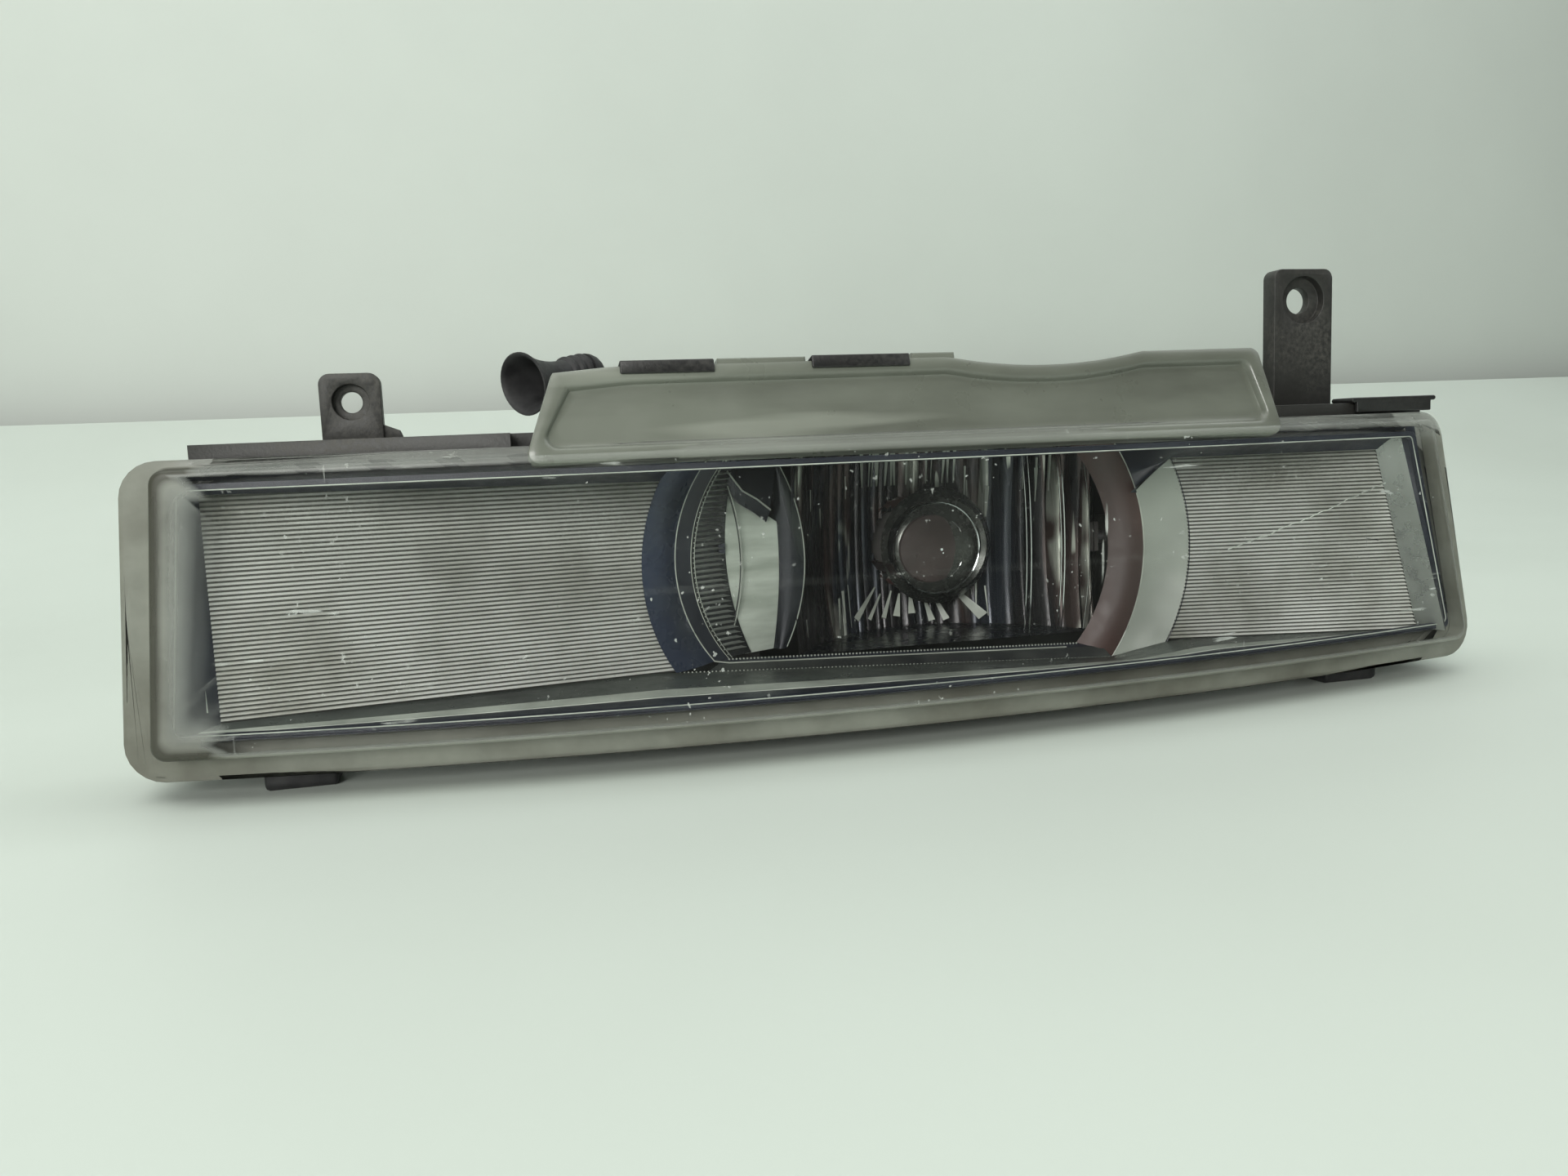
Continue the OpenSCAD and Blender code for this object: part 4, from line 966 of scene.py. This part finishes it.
def reflector_piece():
    """Main reflector: a bowl of tall narrow facets, each bowed on its own, between two flat walls."""
    b = Build()
    rng = random.Random(7)
    edges = [-15.5]
    while edges[-1] < 70:
        edges.append(edges[-1] + rng.uniform(2.6, 4.6))
    edges[-1] = 71.0
    low, high = AXIS_Z - REFL_HALF, AXIS_Z + REFL_HALF + 2.6
    for x0, x1 in zip(edges, edges[1:]):
        lean = rng.uniform(-0.5, 0.5)
        bow = rng.uniform(0.5, 1.2)
        columns = []
        for i in range(7):
            t = i / 6
            column = []
            for k in range(27):
                z = low + (high - low) * k / 26
                x = x0 + (x1 - x0) * t + lean * (z - AXIS_Z) / 25
                depth = facet_y(x, z) - 0.35 - bow * math.sin(math.pi * t)
                column.append((x, depth, z))
            columns.append(column)
        for a, c in zip(columns, columns[1:]):
            b.loft([a, c], close=False)
    hole = 11.2
    keep = []
    for f in b.faces:
        cx = sum(b.verts[i][0] for i in f) / len(f) - AXIS_X
        cz = sum(b.verts[i][2] for i in f) / len(f) - AXIS_Z
        if cx * cx + cz * cz > hole * hole:
            keep.append(f)
    b.faces = keep
    on_reflector(b, "reflector_facets", FLUTE, "bright_mirror")
    floor = Build()
    xs = [-14.0 + 84.0 * k / 30 for k in range(31)]
    for edge, out, off in ((low, -0.4, -13), (high, 0.2, 13)):
        inner = edge + (0.2 if off < 0 else -0.2)
        floor.loft([[(x, RIM_Y + 0.2, edge + out) for x in xs],
                    [(x, bowl_y(x, AXIS_Z + off), inner) for x in xs]], close=False)
    on_reflector(floor, "reflector_walls", STREAKS, "dark_chrome")
    collar = Build()
    back = VERTEX_Y + 11.8
    collar.revolve([(11.0, VERTEX_Y - 1.0), (11.0, back), (14.9, back), (14.9, VERTEX_Y + 0.5),
                    (13.0, VERTEX_Y - 2.4), (11.0, VERTEX_Y - 1.0)], axis_place, 48, cap=False)
    on_reflector(collar, "reflector_collar", BROWN_DARK, "dark_chrome")
    arm = Build()
    arm.box((54.0, 43.2, 66.0), (62.0, 57.0, 71.8))
    arm.box((54.0, 43.2, 71.8), (62.0, 45.4, 81.8))
    arm.box((54.0, 54.6, 71.8), (62.0, 57.0, 81.8))
    for s in (-1, 1):
        ear = sorted((AXIS_X + s * 42.5, AXIS_X + s * 50.5))
        arm.box((ear[0], 48.0, 36.0), (ear[1], 53.4, 44.4))
    on_reflector(arm, "reflector_arms", BULB_PLASTIC, "bulb_plastic")
    pairs = ((52.6, 52.0, 41.0), (54.0, 53.6, 41.0), (61.9, 61.0, 38.6), (63.0, 62.2, 38.6),
             (69.0, 67.2, 35.5), (70.2, 68.6, 35.5))
    for x, top_x, y in pairs:
        line = [(x + (top_x - x) * ((z - 41) / 27) ** 2 - 0.8 * ((z - 41) / 27) ** 2, y, z)
                for z in (15.8 + 52 * k / 24 for k in range(25))]
        e = Build()
        e.tube(line, 0.17, 6)
        on_reflector(e, "facet_rib_%d" % round(x * 10), BRIGHT, "bright_mirror")


def reflector_painted_glints():
    """Painted glints on the bowl: a fan of pale wedges under the bulb and thin upright slivers above and
    beside it.
    """
    rng = random.Random(19)
    # painted glints: pale wedges fanning out under the bulb
    fan = Build()
    for k in range(8):
        a = math.radians(-44 + 12 * k + rng.uniform(-5, 5))
        r0, r1 = rng.uniform(14.5, 17.5), rng.uniform(20.5, 24.5) / max(math.cos(a), 0.8)
        wide = rng.uniform(0.5, 1.7)
        loop = []
        for r, w in ((r0, -0.25), (r1, -wide), (r1, wide), (r0, 0.25)):
            x = AXIS_X + r * math.sin(a) + w * math.cos(a)
            z = max(AXIS_Z - REFL_HALF + 1.0, AXIS_Z - r * math.cos(a) + w * math.sin(a))
            loop.append((x, facet_y(x, z) - 2.0, z))
        fan.add(loop, [(0, 1, 2, 3)])
    on_reflector(fan, "reflector_glint_fan", PALE, "bright_mirror", smooth=False)
    # painted glints: thin pale slivers above and beside the bulb
    upright = Build()
    for k in range(34):
        x = rng.uniform(-12.5, 66.0)
        low_end = rng.random() < 0.45
        z0 = rng.uniform(16.5, 24.0) if low_end else rng.uniform(44.0, 56.0)
        z1 = min(z0 + rng.uniform(4.0, 13.0), 66.0)
        if abs(x - AXIS_X) < 15.5 and z0 < 57:
            z0, z1 = 57.0, 66.5
        w, lean = rng.uniform(0.12, 0.65), rng.uniform(-0.5, 0.5)
        loop = [(px, facet_y(px, pz) - 1.9, pz)
                for px, pz in ((x - w * 0.4, z0), (x + w * 0.4, z0), (x + lean + w, z1), (x + lean - w, z1))]
        upright.add(loop, [(0, 1, 2, 3)])
    on_reflector(upright, "reflector_painted_glints", PALE, "bright_mirror", smooth=False)


def axis_place(a, c, h):
    """Local point (a, c, height) round the bulb axis; height is the depth y."""
    return (AXIS_X + a, h, AXIS_Z + c)


def shield_piece():
    """Bulb shield: a shallow domed cap with a rolled edge, a stepped tube behind it, and three legs."""
    cap = Build()
    front = VERTEX_Y - 28.0
    cap.revolve([(0.3, front - 0.4), (5.0, front - 0.2), (9.0, front + 0.3), (11.4, front + 0.9),
                 (12.3, front + 1.6), (12.6, front + 2.6)], axis_place, 64)
    on_reflector(cap, "shield_cap", RING, "steel_shield", "bulb_shield")

    def beside(a, c, h):
        return (AXIS_X - 2.0 + a, h, AXIS_Z + c)

    face = Build()
    face.revolve([(0.3, front - 0.55), (6.0, front - 0.35), (9.2, front + 0.25), (9.6, front + 0.7)],
                 beside, 64)
    on_reflector(face, "shield_face", SHIELD, "steel_shield", "bulb_shield")
    # painted highlight: a part arc of bright tube where the shield's front edge catches the light
    arc = [beside(9.6 * math.cos(a), 9.6 * math.sin(a), front + 0.3)
           for a in (math.radians(-65 + 115 * k / 24) for k in range(25))]
    glint = Build()
    glint.tube(arc, 0.16, 6)
    on_reflector(glint, "shield_glint_arc", BRIGHT, "steel_shield", "bulb_shield")
    skirt = Build()
    skirt.revolve([(12.6, front + 2.6), (12.3, front + 8.0), (11.8, front + 8.0), (11.9, front + 3.0)],
                  axis_place, 64, cap=False)
    on_reflector(skirt, "shield_skirt", SHIELD_SIDE, "steel_shield", "bulb_shield")
    rim = Build()
    rim.revolve([(12.7, front + 1.5), (12.85, front + 1.9), (12.7, front + 2.4), (12.5, front + 2.0)],
                axis_place, 64, cap=False)
    on_reflector(rim, "shield_rim", BRIGHT, "steel_shield", "bulb_shield")
    ring = Build()

    def aside(a, c, h):
        return (AXIS_X + 4.2 + a, h, AXIS_Z - 0.4 + c)

    ring.revolve([(12.2, front + 9.0), (13.6, front + 8.4), (14.6, front + 9.4), (16.8, front + 13.0)],
                 aside, 64, cap=False)
    on_reflector(ring, "shield_ring", RING, "steel_shield", "bulb_shield")
    # painted glint: two bright beads at the middle of the shield's face
    spot = Build()
    spot.bead(axis_place(0.4, -0.3, front - 0.5), 0.55)
    spot.bead(axis_place(0.9, -1.3, front - 0.5), 0.3)
    on_reflector(spot, "shield_glint_spot", BRIGHT, "steel_shield", "bulb_shield")
    legs = Build()
    for angle in (0, 120, 240):
        a = math.radians(angle)
        out = Vector((math.sin(a), 0, math.cos(a)))
        side = Vector((math.cos(a), 0, -math.sin(a)))
        centre = Vector((AXIS_X, 0, AXIS_Z))
        loops = []
        for y, r, w in ((front + 6, 12.0, 2.2), (front + 12, 12.3, 1.7), (front + 20, 12.1, 1.5),
                        (VERTEX_Y + 4, 12.0, 1.5)):
            corners = ((-w, -0.4), (w, -0.4), (w, 0.4), (-w, 0.4))
            loops.append([centre + side * p + out * (r + q) + Vector((0, y, 0)) for p, q in corners])
        legs.loft(loops, cap_first=True, cap_last=True)
    on_reflector(legs, "shield_legs", SHIELD, "steel_shield", "bulb_shield")


def trumpet_piece():
    """Rubber breather: stub, elbow, ribbed throat and a flared mouth with a thin lip."""
    out, droop = math.radians(50), math.radians(10.5)
    d = Vector((-math.sin(out) * math.cos(droop), -math.cos(out) * math.cos(droop), -math.sin(droop)))
    side = d.cross(Vector((0, 0, 1))).normalized()
    up = side.cross(d)
    base = Vector(VENT)
    b = Build()
    profile = [(3.6, 0.0), (3.7, 1.5)]
    for k in range(3):
        s = 3.4 + 2.6 * k
        profile += [(3.7, s - 1.0), (4.35, s - 0.45), (4.45, s), (4.35, s + 0.45), (3.7, s + 1.0)]
    profile += [(3.75, 11.5), (3.95, 13.5), (4.4, 15.8), (5.1, 18.2), (5.9, 20.2), (6.8, 21.9), (7.5, 23.0),
                (7.75, 23.35), (7.75, 23.7), (7.5, 23.8), (7.1, 23.6), (6.6, 22.9), (5.8, 21.4), (4.9, 19.4),
                (4.0, 17.0), (3.2, 14.5), (2.6, 12.0), (2.4, 4.0)]
    b.revolve(profile, lambda a, c, h: base + d * h + side * a + up * c, 40)
    elbow = []
    for k in range(9):
        t = k / 8
        elbow.append(base + Vector((0, 0, -4.2)) * (1 - t) ** 2 + d * 2.0 * t ** 2)
    b.tube(elbow, 4.2, 28)
    b.revolve([(5.0, -5.5), (5.0, -3.0), (4.7, -2.6), (4.2, -2.5), (4.2, -0.4)],
              lambda a, c, h: base + Vector((a, c, h)), 36)
    on_housing(b, "trumpet", RUBBER, "rubber_black", "vent_trumpet")


lens_piece()
lens_scratch()
apron_piece()
wings()
bezel_pieces()
aperture_pieces()
baffle_pieces()
reflector_piece()
reflector_painted_glints()
shield_piece()
trumpet_piece()
for moulding in ("housing", "housing_pod", "mounting_tabs"):
    softened(moulding, "housing_body", 0.5, BLACK)
for clip in ("apron_clips", "end_clip"):
    softened(clip, "housing_body", 0.3, CLIP_BLACK)
softened("buffer_feet", "housing_body", 0.8, RUBBER)
softened("rear_cap", "cap_body", 0.5, CAP_BLACK)
softened("connector_shell", "housing_body", 0.4, CAP_BLACK)


# ---------------------------------------------------------------- stage, light and camera
def stage_sheet(name, rows, a, b):
    """A wide sheet through the (y, z) rows, with a faintly uneven tone."""
    m = Nodes(name)
    m.link(m.mix(m.ramp(m.noise(3, 4), 0.3, 0.7), a, b), m.bsdf.inputs["Base Color"])
    m.set(Roughness=0.5)
    mesh = bpy.data.meshes.new(name)
    verts = [(x, y, z) for y, z in rows for x in (-3.5, 3.5)]
    mesh.from_pydata(verts, [], [(2 * i, 2 * i + 1, 2 * i + 3, 2 * i + 2) for i in range(len(rows) - 1)])
    mesh.materials.append(m.mat)
    mesh.polygons.foreach_set("use_smooth", [True] * len(mesh.polygons))
    sheet = bpy.data.objects.new(name, mesh)
    bpy.context.scene.collection.objects.link(sheet)


def make_stage():
    """Pale table that sweeps up behind the lamp, and a slightly darker wall beyond its edge."""
    sweep = [(-2.0, 0.0), (0.2, 0.0)]
    sweep += [(0.2 + 0.5 * k / 12, 0.108 * (k / 12) ** 2) for k in range(1, 13)]
    stage_sheet("table", sweep, (0.66, 0.72, 0.665), (0.61, 0.665, 0.61))
    stage_sheet("wall", [(0.74, -0.1), (0.76, 2.5)], (0.62, 0.67, 0.62), (0.58, 0.625, 0.58))


def area_light(name, place, target, size, power, colour):
    data = bpy.data.lights.new(name, "AREA")
    data.shape = "RECTANGLE"
    data.size, data.size_y = size
    data.energy = power
    data.color = colour
    obj = bpy.data.objects.new(name, data)
    obj.location = place
    obj.rotation_euler = (Vector(target) - Vector(place)).to_track_quat("-Z", "Y").to_euler()
    bpy.context.scene.collection.objects.link(obj)


def make_world():
    """Pale room light, with a dim side where the room behind the viewer is darker."""
    world = bpy.data.worlds.new("room")
    world.use_nodes = True
    tree = world.node_tree
    background = tree.nodes["Background"]
    tex = tree.nodes.new("ShaderNodeTexCoord")
    split = tree.nodes.new("ShaderNodeSeparateXYZ")
    height = tree.nodes.new("ShaderNodeMath")
    height.operation = "MULTIPLY_ADD"
    height.inputs[1].default_value = 1.1
    ramp = tree.nodes.new("ShaderNodeValToRGB")
    tree.links.new(tex.outputs["Generated"], split.inputs["Vector"])
    tree.links.new(split.outputs["Z"], height.inputs[0])
    tree.links.new(split.outputs["Y"], height.inputs[2])
    tree.links.new(height.outputs[0], ramp.inputs["Fac"])
    stops = ramp.color_ramp.elements
    stops[0].position, stops[0].color = 0.0, (0.050, 0.048, 0.045, 1)
    stops[1].position, stops[1].color = 0.75, (0.80, 0.86, 0.81, 1)
    tree.links.new(ramp.outputs["Color"], background.inputs["Color"])
    background.inputs["Strength"].default_value = 0.80
    bpy.context.scene.world = world


def make_camera():
    """A wide phone-like view from the front left, level with the top of the lens, rolled a little."""
    yaw, pitch, roll = math.radians(14.0), math.radians(6.9), math.radians(-2.33)
    forward = Vector((math.sin(yaw) * math.cos(pitch), math.cos(yaw) * math.cos(pitch), -math.sin(pitch)))
    right = Vector((math.cos(yaw), -math.sin(yaw), 0))
    up = right.cross(forward)
    right_r = math.cos(roll) * right + math.sin(roll) * up
    up_r = -math.sin(roll) * right + math.cos(roll) * up
    data = bpy.data.cameras.new("camera")
    data.lens = 27.06
    data.clip_start = 0.01
    camera = bpy.data.objects.new("camera", data)
    rows = Matrix((right_r, up_r, -forward)).transposed().to_4x4()
    camera.matrix_world = Matrix.Translation(put(-92.6, -260.0, 70.0)) @ rows
    bpy.context.scene.collection.objects.link(camera)
    bpy.context.scene.camera = camera


make_stage()
make_world()
make_camera()
area_light("key", (-0.5, -0.5, 1.3), (0, 0.1, 0), (1.2, 1.0), 6.5, (1.0, 1.0, 0.97))
area_light("fill", (0.9, -0.3, 0.9), (0, 0, 0.03), (0.8, 0.8), 2.5, (0.96, 1.0, 1.0))
area_light("front", (-0.7, -1.3, 0.45), (0, 0, 0.03), (0.7, 0.5), 15, (1.0, 1.0, 0.96))
area_light("wash", (0.0, 0.1, 1.1), (0, 0.75, 0.25), (2.4, 0.4), 5, (0.97, 1.0, 0.98))

bpy.context.scene.view_settings.view_transform = "Standard"
